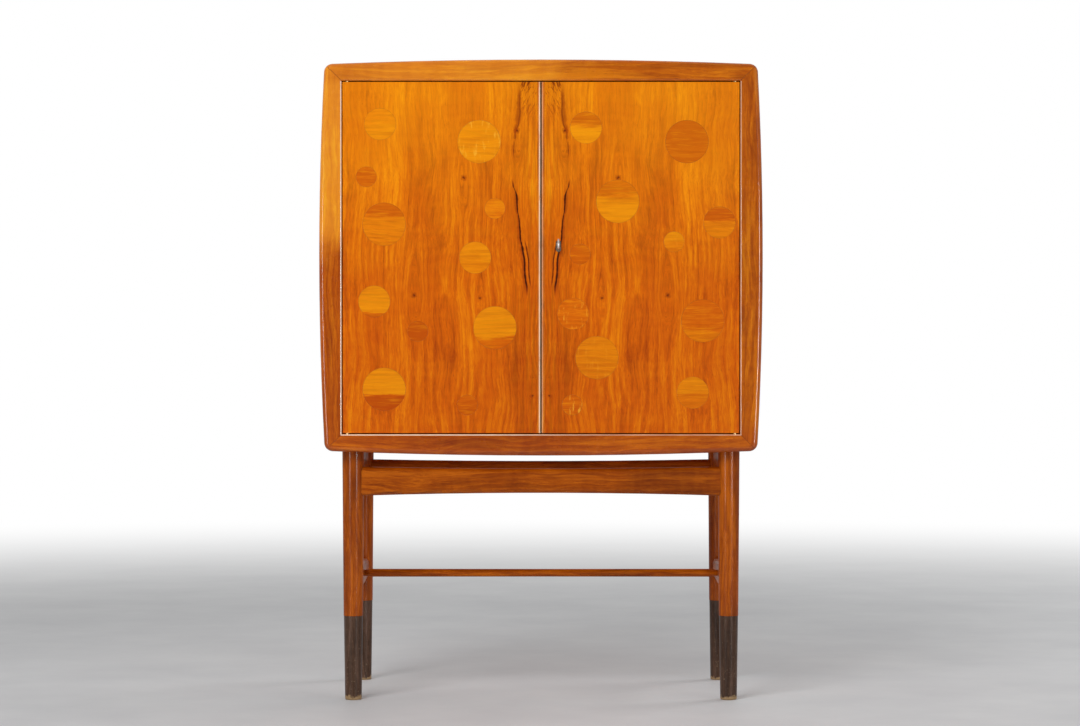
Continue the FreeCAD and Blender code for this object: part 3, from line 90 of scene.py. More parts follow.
class Signal:
    """A value in a shader graph; arithmetic on it adds Math nodes."""

    def __init__(self, graph: "Graph", socket: Socket) -> None:
        """Keep the graph and the output that carries the value."""
        self.graph = graph
        self.socket = socket

    def __add__(self, other: "Feed") -> "Signal":
        """Add a number."""
        return self.graph.math("ADD", self, other)

    def __sub__(self, other: "Feed") -> "Signal":
        """Take a number away."""
        return self.graph.math("SUBTRACT", self, other)

    def __rsub__(self, other: float) -> "Signal":
        """Take this away from a number."""
        return self.graph.math("SUBTRACT", other, self)

    def __mul__(self, other: "Feed") -> "Signal":
        """Multiply by a number."""
        return self.graph.math("MULTIPLY", self, other)

    def __truediv__(self, other: "Feed") -> "Signal":
        """Divide by a number."""
        return self.graph.math("DIVIDE", self, other)

    def __abs__(self) -> "Signal":
        """Drop the sign."""
        return self.graph.math("ABSOLUTE", self)

    def most(self, other: "Feed") -> "Signal":
        """Take the greater of two numbers."""
        return self.graph.math("MAXIMUM", self, other)

    def length(self) -> "Signal":
        """Measure a vector."""
        return self.graph.vector("LENGTH", self)

    def parts(self, kind: str = "ShaderNodeSeparateXYZ") -> list["Signal"]:
        """Take a vector or a colour apart into its three numbers."""
        return [Signal(self.graph, output) for output in self.graph.add(kind, {0: self}).outputs]

    def spread(self, low: float, high: float, kind: str = "LINEAR") -> "Signal":
        """Stretch the span between two values to 0 and 1.

        Args:
            low: What becomes 0.
            high: What becomes 1; it may be the lower of the two.
            kind: How the result runs from one end to the other.

        Returns:
            The result, kept between 0 and 1.
        """
        feeds = {"Value": self, "From Min": low, "From Max": high}
        return self.graph.read("ShaderNodeMapRange", "Result", feeds, interpolation_type=kind)

    def eased(self, low: float, high: float) -> "Signal":
        """Stretch a span to 0 and 1 with eased ends."""
        return self.spread(low, high, "SMOOTHSTEP")

    def noise(
        self,
        waves: Sequence[float],
        detail: float = 2.0,
        roughness: float = 0.5,
        output: str | int = 0,
    ) -> "Signal":
        """Read a soft random pattern at this place.

        Args:
            waves: Waves per metre along X, Y and Z.
            detail: How many finer layers it has.
            roughness: How strong the finer layers are.
            output: The output to take; "Color" gives three numbers.

        Returns:
            The pattern, around 0.5.
        """
        scaled = self.graph.vector("MULTIPLY", self, waves)
        feeds = {"Vector": scaled, "Scale": 1.0, "Detail": detail, "Roughness": roughness}
        return self.graph.read("ShaderNodeTexNoise", output, feeds)

    def ramp(self, stops: Sequence[tuple[float, Colour | float]]) -> "Signal":
        """Turn a number into a colour.

        Args:
            stops: Place and colour, or grey level, of each stop in order.

        Returns:
            The colour.
        """
        node = self.graph.add("ShaderNodeValToRGB", {0: self})
        elements = node.color_ramp.elements
        while len(elements) < len(stops):
            elements.new(1.0)
        for element, (place, colour) in zip(elements, stops):
            level = (colour,) * 3 if isinstance(colour, float) else colour
            element.position = place
            element.color = (*level, 1.0)
        return Signal(self.graph, node.outputs["Color"])

    def glaze(self, colour: "Feed", share: "Feed", blend: str = "MIX") -> "Signal":
        """Lay a share of a colour over this one."""
        return self.graph.mix(share, self, colour, blend)


Feed = Signal | float | Sequence[float]
Feeds = dict[str | int, Feed]


def spaced(feeds: Feeds) -> Feeds:
    """Put spaces for the underscores in the names of inputs."""
    return {name.replace("_", " "): value for name, value in feeds.items()}


class Graph:
    """Adds nodes to a material, a world or a node group and joins them."""

    def __init__(self, tree: bpy.types.NodeTree) -> None:
        """Keep the tree that the nodes go into."""
        self.tree = tree

    @classmethod
    def for_material(cls, name: str) -> tuple["Graph", bpy.types.Material]:
        """Make an empty material.

        Args:
            name: The material's name.

        Returns:
            The material's graph and the material.
        """
        material = bpy.data.materials.new(name)
        material.use_nodes = True
        material.node_tree.nodes.clear()
        return cls(material.node_tree), material

    @classmethod
    def for_group(cls, name: str, **takes: float | None) -> tuple["Graph", dict[str, Signal]]:
        """Start a node group.

        Args:
            name: The group's name.
            takes: Each input's own value, or None for a vector.

        Returns:
            The group's graph and its inputs by name.
        """
        tree = bpy.data.node_groups.new(name, "ShaderNodeTree")
        for label, value in spaced(takes).items():
            kind = "NodeSocketVector" if value is None else "NodeSocketFloat"
            socket = tree.interface.new_socket(label, in_out="INPUT", socket_type=kind)
            if value is not None:
                socket.default_value = value
        graph = cls(tree)
        return graph, graph.named(graph.add("NodeGroupInput"))

    def give(self, **results: Signal) -> bpy.types.NodeTree:
        """Finish a node group.

        Args:
            results: What goes to each of its outputs.

        Returns:
            The group.
        """
        for label, value in results.items():
            kind = "NodeSocketVector" if value.socket.type == "VECTOR" else "NodeSocketFloat"
            self.tree.interface.new_socket(label, in_out="OUTPUT", socket_type=kind)
        self.add("NodeGroupOutput", results)
        return self.tree

    def add(self, kind: str, feeds: Feeds | None = None, **settings: object) -> bpy.types.Node:
        """Add one node.

        Args:
            kind: The node's type.
            feeds: What goes into its inputs, by name or number.
            settings: Its properties.

        Returns:
            The node.
        """
        node = self.tree.nodes.new(kind)
        for name, value in settings.items():
            setattr(node, name, value)
        for name, value in (feeds or {}).items():
            self.feed(node.inputs[name], value)
        return node

    def read(
        self, kind: str, output: str | int, feeds: Feeds | None = None, **settings: object
    ) -> Signal:
        """Add one node and take one of its outputs."""
        return Signal(self, self.add(kind, feeds, **settings).outputs[output])

    def named(self, node: bpy.types.Node) -> dict[str, Signal]:
        """Find a node's outputs by name."""
        return {output.name: Signal(self, output) for output in node.outputs}

    def feed(self, socket: Socket, value: Feed) -> None:
        """Link a socket to a signal, or give it a value.

        Args:
            socket: The input.
            value: A signal to link, a number, a vector or a colour.
        """
        if isinstance(value, Signal):
            self.tree.links.new(value.socket, socket)
        elif socket.type == "RGBA" and len(value) == 3:
            socket.default_value = (*value, 1.0)
        else:
            socket.default_value = value

    def math(self, operation: str, *values: Feed, clamp: bool = False) -> Signal:
        """Work out one step on numbers.

        Args:
            operation: The Math node's operation.
            values: Its inputs in order.
            clamp: Whether the result stays between 0 and 1.

        Returns:
            The result.
        """
        feeds = dict(enumerate(values))
        return self.read("ShaderNodeMath", 0, feeds, operation=operation, use_clamp=clamp)

    def vector(self, operation: str, *values: Feed) -> Signal:
        """Work out one step on vectors.

        Args:
            operation: The Vector Math node's operation.
            values: Its inputs in order; a Scale step takes its number as the last one.

        Returns:
            The result, a number for a length.
        """
        feeds = dict(zip((0, 3) if operation == "SCALE" else (0, 1), values))
        output = "Value" if operation in ("LENGTH", "DOT_PRODUCT") else "Vector"
        return self.read("ShaderNodeVectorMath", output, feeds, operation=operation)

    def mix(self, share: Feed, first: Feed, second: Feed, blend: str = "MIX") -> Signal:
        """Blend two colours.

        Args:
            share: How much of the second there is.
            first: The first colour.
            second: The second colour.
            blend: The way they are blended.

        Returns:
            The colour.
        """
        feeds = {0: share, 6: first, 7: second}
        return self.read("ShaderNodeMix", 2, feeds, data_type="RGBA", blend_type=blend)

    def join(self, x: Feed, y: Feed, z: Feed) -> Signal:
        """Put three numbers together as a vector."""
        return self.read("ShaderNodeCombineXYZ", 0, {0: x, 1: y, 2: z})

    def group(self, tree: bpy.types.NodeTree, **feeds: Feed) -> dict[str, Signal]:
        """Place a shared node group and find its outputs by name."""
        return self.named(self.add("ShaderNodeGroup", spaced(feeds), node_tree=tree))

    def place(self) -> Signal:
        """Read where a point lies on the piece itself."""
        return self.read("ShaderNodeTexCoord", "Object")

    def bump(self, height: Signal, distance: float, **under: Signal) -> Signal:
        """Turn a height pattern into a normal, laid over another normal if one is given."""
        return self.read("ShaderNodeBump", 0, {"Height": height, "Distance": distance, **under})

    def show(self, shader: Signal, kind: str = "ShaderNodeOutputMaterial") -> None:
        """Lead a shader to the output."""
        self.add(kind, {"Surface": shader})

    def surface(self, **feeds: Feed) -> None:
        """Finish a material with its shader."""
        self.show(self.read("ShaderNodeBsdfPrincipled", 0, spaced(feeds)))


class SharedEffects:
    """The node groups that several finishes use, each built once."""

    def __init__(self) -> None:
        """Build the groups."""
        self.figure = self._figure()
        self.eased = self._eased()
        self.smears = self._smears()

    def _figure(self) -> bpy.types.NodeTree:
        """Build the wood figure: growth rings, streaks, fibres and pores along Z.

        Returns:
            The group.
        """
        graph, takes = Graph.for_group(
            "wood_figure",
            Place=None,
            Ring_Width=0.005,
            Pith_Depth=0.05,
            Pith_Lean=0.03,
            Waver=1.0,
            Ring_Share=0.3,
        )
        place = takes["Place"]
        shifts = []
        for waves, detail, reach in (((5, 5, 3.2), 2, 0.06), ((26, 26, 9), 3, 0.012)):
            pattern = place.noise(waves, detail, output="Color")
            around = graph.vector("SUBTRACT", pattern, (0.5, 0.5, 0.5))
            shifts.append(graph.vector("SCALE", around, reach))
        bend = graph.vector("SCALE", graph.vector("ADD", *shifts), takes["Waver"])
        laid = graph.vector("ADD", place, bend)

        x, y, z = laid.parts()
        depth = y + takes["Pith Depth"] + z * takes["Pith Lean"]
        away = graph.join(x, depth, 0.0).length()
        uneven = graph.join(away, 0.0, 0.0).noise((30, 1, 1), 2)
        phase = graph.math("FRACT", away / takes["Ring Width"] + uneven * 3.0)
        ring = phase.ramp(((0.0, 0.2), (0.3, 0.25), (0.75, 0.7), (0.88, 0.95), (1.0, 0.2)))

        streaks = laid.noise((120, 120, 6.5), 4, 0.62).spread(0.3, 0.7)
        flecks = laid.noise((430, 430, 42), 3, 0.65).spread(0.32, 0.7)
        broad = laid.noise((17, 17, 3.2), 3, 0.55).spread(0.3, 0.7)
        fibres = laid.noise((1300, 1300, 24), 2).spread(0.25, 0.75)
        pores = laid.noise((900, 900, 70), 2, 0.6).spread(0.6, 0.74)
        tone = streaks * 0.36 + flecks * 0.22 + broad * 0.3 + fibres * 0.12
        return graph.give(
            Tone=tone.glaze(ring, takes["Ring Share"]),
            Pores=pores,
            Ripple=laid.noise((9, 9, 75), 1).eased(0.35, 0.75),
            Relief=fibres - pores * 0.8,
        )

    def _eased(self) -> bpy.types.NodeTree:
        """Build eased edges: a softened normal, and a mask of where an edge is rubbed.

        Returns:
            The group.
        """
        graph, takes = Graph.for_group("eased_edges", Place=None)
        soft = graph.read("ShaderNodeBevel", 0, {"Radius": 0.9 * MM}, samples=3)
        flat = graph.read("ShaderNodeNewGeometry", "Normal")
        turn = 1.0 - graph.vector("DOT_PRODUCT", soft, flat)
        patchy = takes["Place"].noise((60, 60, 60), 4, 0.65).spread(0.35, 0.7)
        return graph.give(Normal=soft, Rub=turn.spread(0.01, 0.16) * patchy)

    def _smears(self) -> bpy.types.NodeTree:
        """Build the faint cloudiness that polish and hands leave.

        Returns:
            The group.
        """
        graph, takes = Graph.for_group("smears", Place=None, Base=0.35, Swing=0.1)
        swing = (takes["Place"].noise((11, 11, 11), 5, 0.62) - 0.5) * takes["Swing"]
        return graph.give(Roughness=graph.math("ADD", takes["Base"], swing, clamp=True))


class Grain(Enum):
    """Which way a piece's grain runs."""

    ACROSS = "across"
    DEEP = "deep"
    UPRIGHT = "upright"

    def laid(self, place: Signal) -> Signal:
        """Turn a place so that the grain runs along Z.

        Args:
            place: The place on the piece.

        Returns:
            The turned place.
        """
        x, y, z = place.parts()
        turned = {Grain.ACROSS: (z, y, x), Grain.DEEP: (x, z, y), Grain.UPRIGHT: (x, y, z)}
        return place.graph.join(*turned[self])


# ---------------------------------------------------------------- finishes


@dataclass(frozen=True)
class Finish:
    """A finish that is made once for each way its grain runs."""

    name: str

    def material(self, effects: SharedEffects, grain: Grain | None = None) -> bpy.types.Material:
        """Find or make the material.

        Args:
            effects: The shared node groups.
            grain: Which way the grain runs, for wood.

        Returns:
            The material.
        """
        name = f"{self.name}_{grain.value}" if grain else self.name
        found = bpy.data.materials.get(name)
        if found:
            return found
        graph, material = Graph.for_material(name)
        place = graph.place()
        self.paint(effects, place, grain.laid(place) if grain else place)
        return material

    def paint(self, effects: SharedEffects, place: Signal, laid: Signal) -> None:
        """Add the material's nodes.

        Args:
            effects: The shared node groups.
            place: The place on the piece.
            laid: The place, with the grain along Z.
        """
        raise NotImplementedError


@dataclass(frozen=True)
class Timber(Finish):
    """Lacquered wood of one kind."""

    dark: Colour
    middle: Colour
    light: Colour
    patch: Colour
    patches: float = 0.5
    streaks: float = 0.0
    ring_width: float = 0.012
    ring_share: float = 0.2
    pith_depth: float = 0.07
    pith_lean: float = 0.03
    waver: float = 1.0
    pores: float = 0.45
    ripple: float = 0.10
    relief: float = 0.03 * MM
    roughness: float = 0.34
    sheen: float = 0.14
    coat: float = 0.15
    coat_roughness: float = 0.1
    rub: Colour = shade("E8A860")
    rubbing: float = 0.35

    def paint(self, effects: SharedEffects, place: Signal, laid: Signal) -> None:
        """Colour the wood, mark it and lacquer it.

        Args:
            effects: The shared node groups.
            place: The place on the piece.
            laid: The place, with the grain along Z.
        """
        graph = place.graph
        colour, figure = self.colour(effects, laid)
        edges = graph.group(effects.eased, Place=place)
        smears = graph.group(effects.smears, Place=place, Base=self.roughness, Swing=0.12)
        graph.surface(
            Base_Color=self.marks(place, colour).glaze(self.rub, edges["Rub"] * self.rubbing),
            Roughness=smears["Roughness"],
            Normal=graph.bump(figure["Relief"], self.relief, Normal=edges["Normal"]),
            Coat_Weight=self.coat,
            Coat_Roughness=self.coat_roughness,
            Specular_IOR_Level=self.sheen,
        )

    def colour(self, effects: SharedEffects, laid: Signal) -> tuple[Signal, dict[str, Signal]]:
        """Work out the bare wood's colour.

        Args:
            effects: The shared node groups.
            laid: The place, with the grain along Z.

        Returns:
            The colour, and the figure's outputs.
        """
        figure = laid.graph.group(
            effects.figure,
            Place=laid,
            Ring_Width=self.ring_width,
            Pith_Depth=self.pith_depth,
            Pith_Lean=self.pith_lean,
            Waver=self.waver,
            Ring_Share=self.ring_share,
        )
        cloud = laid.noise((14, 14, 3.5), 3, 0.55).eased(0.48, 0.7)
        streak = laid.noise((48, 48, 4.5), 3, 0.6)
        colour = figure["Tone"].ramp(((0.2, self.light), (0.48, self.middle), (0.78, self.dark)))
        colour = colour.glaze(self.patch, cloud * self.patches)
        colour = colour.glaze(self.light, streak.eased(0.53, 0.68) * self.streaks)
        colour = colour.glaze(self.patch, streak.eased(0.47, 0.32) * self.streaks * 0.6)
        colour = colour.glaze(self.light, figure["Ripple"] * self.ripple)
        return colour.glaze(self.dark, figure["Pores"] * self.pores, "MULTIPLY"), figure

    def marks(self, place: Signal, colour: Signal) -> Signal:
        """Lay this wood's own marks over its colour; plain wood has none."""
        return colour


@dataclass(frozen=True)
class FrameTimber(Timber):
    """Solid wood of the front frame: painted light brightens its upper left, painted shade darkens
    its lower left and its bottom band, and its inner rim carries a painted highlight with some
    rubbing.

    Each span says where a mask is nothing and where it is whole.
    """

    half_width: float = 0.388
    half_height: float = 0.344
    middle_height: float = 0.8665
    mitre: tuple[float, float] = (0.696, -0.717)
    mitre_joint: Span = (1.0 * MM, 0.3 * MM)
    # Pale painted highlight for the inner rim, partly wear.
    rim: Colour = shade("FFE6CC")
    rim_outer: Span = (3.0 * MM, 2.0 * MM)
    rim_inner: Span = (0.2 * MM, 0.9 * MM)
    # Painted light: a lift and a warm tint for the upper left. Painted shade: a dark tint for the
    # lower left and the bottom band.
    painted_light_lift: Colour = (1.3, 1.6, 2.2)
    painted_light_tint: Colour = (0.66, 0.17, 0.016)
    painted_shade_tint: Colour = (0.87, 0.68, 0.4)
    painted_light_front: Span = (-180.0 * MM, -197.0 * MM)
    light_slope_span: Span = (1.25, 1.40)
    crown: Span = (1.2, 1.215)
    left_half: Span = (0.1, -0.3)
    underside: Span = (0.54, 0.515)

    def marks(self, place: Signal, colour: Signal) -> Signal:
        """Paint light on the upper left and shade on the lower left and bottom band, draw the
        mitres and paint the inner rim's highlight with some wear.

        Args:
            place: The place on the piece.
            colour: The wood's colour.

        Returns:
            The colour with its marks.
        """
        x, y, z = place.parts()
        # Painted light on the upper left of the front faces, and painted shade on the lower left
        # and along the bottom band.
        lit_upper_left = self._painted_light(place, x, z) * y.eased(*self.painted_light_front)
        shaded = ((1.0 - lit_upper_left) * x.spread(*self.left_half)).most(z.eased(*self.underside))
        colour = colour.glaze(self.painted_shade_tint, shaded * 0.7, "MULTIPLY")
        colour = colour.glaze(self.painted_light_lift, lit_upper_left, "MULTIPLY").glaze(self.painted_light_tint, lit_upper_left, "SCREEN")

        rise = z - self.middle_height
        across = abs(x) - self.half_width
        up = abs(rise) - self.half_height
        off = abs(up * self.mitre[1] + across * self.mitre[0])
        joint = off.eased(*self.mitre_joint) * across.spread(0.0, 1.0 * MM)
        colour = colour.glaze(self.patch, joint * 0.6)

        # Painted highlight along the inner rim, partly wear: stronger on the left, left out on the
        # top rail.
        inset = across.most(up)
        line = inset.eased(*self.rim_outer) * inset.eased(*self.rim_inner)
        top = up.spread(-1.0 * MM, 0.0) * rise.spread(0.0, 0.1)
        patchy = place.noise((25, 25, 25), 3, 0.6).spread(0.2, 0.6)
        left = x.spread(0.1, -0.1) * 0.55 + 0.2
        return colour.glaze(self.rim, line * (1.0 - top) * (patchy * 0.3 + left))

    def _painted_light(self, place: Signal, x: Signal, z: Signal) -> Signal:
        """Work out where painted light brightens the frame, standing for the lamp falling stronger
        on the upper left.

        Args:
            place: The place on the piece.
            x: Its first number.
            z: Its height.

        Returns:
            The mask, from 0 to 1.
        """
        light_slope = place.noise((7, 7, 9), 3, 0.6) * 0.24 + (x * -0.75 + z)
        cloud = place.noise((16, 16, 6), 3, 0.5).spread(0.25, 0.6)
        level = cloud * 0.25 + (z.spread(*self.crown) * -0.3 + 0.75)
        return light_slope.eased(*self.light_slope_span) * level


@dataclass(frozen=True)
class EdgingTimber(Timber):
    """Solid edging of the doors: a painted pale highlight, partly wear, along its front edge, and
    painted shade on its gap side.
    """

    arris_highlight_and_wear: Colour = shade("FFD8B2")
    gap_shade: Colour = shade("3A1804")
    arris_line: Span = (4.8 * MM, 3.6 * MM)
    left_door: Span = (0.5 * MM, -0.5 * MM)
    gap_side: Span = (1.5 * MM, 1.2 * MM)
    front: Span = (-193.0 * MM, -198.5 * MM)

    def marks(self, place: Signal, colour: Signal) -> Signal:
        """Paint a pale highlight, partly wear, along the front edge, stronger on the left door,
        and paint shade on the gap side.

        Args:
            place: The place on the edging.
            colour: The wood's colour.

        Returns:
            The colour with its marks.
        """
        x, y, _ = place.parts()
        aside = abs(x)
        line = aside.eased(*self.arris_line)
        worn = place.noise((30, 30, 22), 4, 0.6).spread(0.2, 0.5)
        left = x.spread(*self.left_door) * 0.6 + 0.3
        fading = y.spread(*self.front)
        # Painted highlight, partly wear, along the front edge; painted shade on the side that
        # faces into the gap.
        colour = colour.glaze(self.arris_highlight_and_wear, line * worn * left * fading)
        return colour.glaze(self.gap_shade, aside.eased(*self.gap_side) * fading * 0.92)


@dataclass(frozen=True)
class InkLine:
    """A near-black line that wanders down the veneer beside the meeting edges."""

    route: tuple[tuple[float, float], ...]
    width: float
    strength: float
    low: float
    high: float
    offset: float = 0.0
    wander: float = 4.0 * MM
    hairline: float = 0.5 * MM
    low_end: float = 0.03
    high_end: float = 0.02

    def mask(self, matched: Signal) -> Signal:
        """Work out where the line shows.

        Args:
            matched: The place, with its distance from the cabinet's middle as X.

        Returns:
            The mask, from 0 to 1.
        """
        aside, _, height = matched.parts()
        path: Feed = self.route[0][1] + self.offset
        for (above, start), (below, end) in zip(self.route, self.route[1:]):
            path = height.eased(above, below) * (end - start) + path
        path = (matched.noise((0.1, 0.1, 38), 4, 0.6) - 0.5) * self.wander + path
        swell = matched.noise((3, 3, 28), 3, 0.7).spread(0.3, 0.68)
        line = (abs(aside - path) / (swell * self.width + self.hairline)).eased(1.0, 0.2)
        below = height.eased(self.low, self.low + self.low_end)
        above = height.eased(self.high, self.high - self.high_end)
        return line * (below * above * self.strength)


UPPER_INK = ((1.210, 0.041), (1.150, 0.041), (1.130, 0.043), (1.110, 0.049), (1.067, 0.054))
LOWER_INK = ((1.016, 0.055), (0.980, 0.047), (0.918, 0.041), (0.852, 0.032), (0.792, 0.027))


@dataclass(frozen=True)
class HeightLitVeneer(Timber):
    """Veneer of the doors, with painted light brightening it towards the top and painted shade
    darkening it below.
    """

    doors: Span = (0.52, 1.21)
    painted_top_light: Colour = shade("FFB00C")
    painted_low_shade: Colour = shade("E6C8A0")

    def painted_height_light(self, place: Signal, colour: Signal) -> Signal:
        """Paint light on the upper part and shade on the lower part.

        Args:
            place: The place on the veneer.
            colour: The veneer's colour.

        Returns:
            The colour by height.
        """
        _, _, z = place.parts()
        drift = place.noise((6, 6, 4), 3, 0.6) * 0.9
        share = z.spread(*self.doors)
        # Painted light towards the top and painted shade towards the bottom, standing for the
        # lamps' falloff.
        colour = colour.glaze(self.painted_top_light, (share + drift).eased(0.85, 1.6) * 0.3)
        return colour.glaze(self.painted_low_shade, (share - drift).eased(0.35, -0.5) * 0.5, "MULTIPLY")


@dataclass(frozen=True)
class DoorVeneer(HeightLitVeneer):
    """Veneer matched about the middle, with ink lines, soot and pin knots.

    A knot is given by its distance from the middle, its height and its radius. Its edges, and
    the reach and push of the figure that flows round it, are shares of that radius.
    """

    leaf_middle: float = 0.19
    ink: Colour = shade("2E1002")
    rust: Colour = (0.72, 0.45, 0.2)
    smoke: Colour = shade("A85400")
    smoke_zone: Span = (0.1, 0.015)
    soot_height: Span = (1.12, 1.19)
    soot_outer: Span = (0.046, 0.036)
    soot_inner: Span = (0.006, 0.014)
    knot: Colour = shade("4A1A00")
    knot_edge: Span = (1.15, 0.75)
    knot_ring: Colour = shade("A83E00")
    knot_ring_edge: Span = (1.9, 1.0)
    knot_raggedness: float = 1.4
    flow_length: float = 0.4
    flow_reach: float = 6.0
    flow_push: float = 1.5
    ink_lines: tuple[InkLine, ...] = (
        InkLine(UPPER_INK, 2.4 * MM, 0.6, 1.050, 1.200),
        InkLine(UPPER_INK, 9.0 * MM, 0.35, 1.060, 1.200, 0.002),
        InkLine(LOWER_INK, 4.4 * MM, 1.0, 0.786, 1.022),
        InkLine(LOWER_INK, 9.0 * MM, 0.3, 0.786, 1.000, 0.002),
        InkLine(LOWER_INK, 2.4 * MM, 0.8, 0.800, 0.905, -0.008),
    )
    knots: tuple[tuple[float, float, float], ...] = (
        (0.150, 1.022, 6.5 * MM),
        (0.047, 1.114, 7.0 * MM),
        (0.247, 0.793, 7.0 * MM),
        (0.119, 0.788, 5.0 * MM),
        (0.017, 0.597, 5.0 * MM),
    )

    def colour(self, effects: SharedEffects, laid: Signal) -> tuple[Signal, dict[str, Signal]]:
        """Match the veneer about the middle and let the figure flow round its knots.

        Args:
            effects: The shared node groups.
            laid: The place on the door.

        Returns:
            The colour, and the figure's outputs.
        """
        x, y, z = laid.parts()
        aside = abs(x)
        flowing = aside - self.leaf_middle
        for knot_aside, knot_height, radius in self.knots:
            across, rise = aside - knot_aside, (z - knot_height) * self.flow_length
            away = laid.graph.join(across, 0.0, rise).length()
            side = across.eased(-radius, radius) * 2.0 - 1.0
            push = away.eased(self.flow_reach * radius, 0.0) * side
            flowing = push * (-self.flow_push * radius) + flowing
        matched = laid.graph.join(flowing, y, z)
        colour, figure = super().colour(effects, matched)
        return self.painted_height_light(matched, colour), figure

    def marks(self, place: Signal, colour: Signal) -> Signal:
        """Draw the smoke and soot, the ink lines and the knots.

        Args:
            place: The place on the door.
            colour: The veneer's colour.

        Returns:
            The colour with its marks.
        """
        graph = place.graph
        x, y, z = place.parts()
        aside = abs(x)
        matched = graph.join(aside, y, z)
        smoky = matched.noise((150, 20, 5), 4, 0.65).spread(0.45, 0.72)
        colour = colour.glaze(self.smoke, smoky * aside.eased(*self.smoke_zone) * 0.7)
        slanted = graph.join(z * 0.35 + aside, y, z)
        strands = slanted.noise((230, 20, 42), 4, 0.7).spread(0.5, 0.6)
        sooty = z.spread(*self.soot_height) * aside.spread(*self.soot_outer)
        ink = strands * (sooty * aside.spread(*self.soot_inner)) * 0.7
        ink = reduce(Signal.most, [ink, *[line.mask(matched) for line in self.ink_lines]])
        colour = colour.glaze(self.rust, graph.math("MINIMUM", ink * 1.8, 1.0), "MULTIPLY")
        colour = colour.glaze(self.ink, graph.math("POWER", ink, 1.4) * 0.95)
        return self._knotted(matched, colour)

    def _knotted(self, matched: Signal, colour: Signal) -> Signal:
        """Draw the knots.

        Args:
            matched: The place, with its distance from the cabinet's middle as X.
            colour: The veneer's colour.

        Returns:
            The colour with its knots.
        """
        aside, _, z = matched.parts()
        rings, burns = [], []
        for knot_aside, knot_height, radius in self.knots:
            away = matched.graph.join(aside - knot_aside, 0.0, z - knot_height).length() / radius
            away = away + matched.noise((260, 260, 260), 3) * self.knot_raggedness
            rings.append(away.eased(*self.knot_ring_edge))
            burns.append(away.eased(*self.knot_edge))
        colour = colour.glaze(self.knot_ring, reduce(Signal.most, rings) * 0.75)
        return colour.glaze(self.knot, reduce(Signal.most, burns) * 0.8)


@dataclass(frozen=True)
class InlayVeneer(HeightLitVeneer):
    """Round inlays, each in two tones with its grain laid across."""

    tones: str = "disc_tones"
    palest: Colour = shade("FFA806")
    deepest: Colour = shade("BC4600")
    joint: Colour = shade("8A4A06")
    ray: Colour = shade("FFB630")

    def marks(self, place: Signal, colour: Signal) -> Signal:
        """Tint each disc's upper and lower part and darken its joint.

        Args:
            place: The place on the door.
            colour: The veneer's colour.

        Returns:
            The tinted colour.
        """
        graph = place.graph
        tones = graph.named(graph.add("ShaderNodeAttribute", attribute_name=self.tones))
        upper, lower, meeting = tones["Color"].parts("ShaderNodeSeparateColor")
        disc = graph.read("ShaderNodeUVMap", 0)
        _, up, _ = disc.parts()
        level = (place.noise((16, 16, 110), 4, 0.65) - 0.5) * 0.5 + up - meeting
        tone = lower.glaze(upper, level.eased(-0.07, 0.09))
        bands = place.noise((9, 9, 120), 4, 0.6).eased(0.46, 0.66)
        gleams = place.noise((22, 22, 300), 3, 0.6).eased(0.52, 0.7)
        rays = place.noise((130, 20, 34), 4, 0.65).eased(0.54, 0.68)
        off = graph.vector("SUBTRACT", disc, (0.5, 0.5, 0.0)).length()
        broken = place.noise((60, 60, 60), 2).spread(0.35, 0.6)

        colour = self.painted_height_light(place, colour)
        colour = colour.glaze(self.palest, tone.spread(0.5, 1.0) * 0.9)
        colour = colour.glaze(self.deepest, tone.spread(0.5, 0.0) * 0.9)
        colour = colour.glaze(self.deepest, bands * 0.3)
        colour = colour.glaze(self.palest, gleams * 0.3)
        colour = colour.glaze(self.ray, rays * tones["Alpha"])
        return colour.glaze(self.joint, off.eased(0.485, 0.497) * (broken * 0.35 + 0.1))


@dataclass(frozen=True)
class ShoeTimber(Timber):
    """Dark stained wood of the shoes, scuffed and worn pale at the floor."""

    worn: Colour = shade("A98A62")
    worn_swing: float = 26.0 * MM
    worn_drop: float = 6.0 * MM
    worn_edge: Span = (2.0 * MM, -2.0 * MM)
    scuffed: Colour = shade("8E765E")
    scuffed_reach: Span = (0.165, 0.0)

    def marks(self, place: Signal, colour: Signal) -> Signal:
        """Scuff the shoe and wear its foot.

        Args:
            place: The place on the shoe.
            colour: The stained wood's colour.

        Returns:
            The worn colour.
        """
        _, _, z = place.parts()
        ragged = place.noise((90, 90, 60), 4, 0.7) * self.worn_swing - self.worn_drop
        foot = (z - ragged).eased(*self.worn_edge)
        scratches = place.noise((420, 420, 16), 3, 0.7).spread(0.62, 0.72)
        knocks = place.noise((240, 240, 200), 3, 0.7).spread(0.62, 0.68)
        scuffs = scratches.most(knocks) * 0.65 * (z.spread(*self.scuffed_reach) * 0.7 + 0.3)
        return colour.glaze(self.scuffed, scuffs).glaze(self.worn, foot * 0.85)


@dataclass(frozen=True)
class Metal(Finish):
    """Aged metal with a dull bloom in its hollows."""

    bright: Colour
    dull: Colour
    roughness: float
    metallic: float = 1.0

    def paint(self, effects: SharedEffects, place: Signal, laid: Signal) -> None:
        """Brush the metal and let it bloom.

        Args:
            effects: The shared node groups.
            place: The place on the piece.
            laid: The same place, as metal has no grain; it is not used.
        """
        graph = place.graph
        bloom = place.noise((180, 180, 180), 4, 0.7).spread(0.42, 0.72)
        brushed = place.noise((900, 900, 90), 2)
        smears = graph.group(effects.smears, Place=place, Base=self.roughness, Swing=0.3)
        edges = graph.group(effects.eased, Place=place)
        graph.surface(
            Base_Color=graph.mix(bloom * 0.7, self.bright, self.dull),
            Metallic=self.metallic,
            Roughness=smears["Roughness"],
            Normal=graph.bump(brushed, 0.01 * MM, Normal=edges["Normal"]),
        )


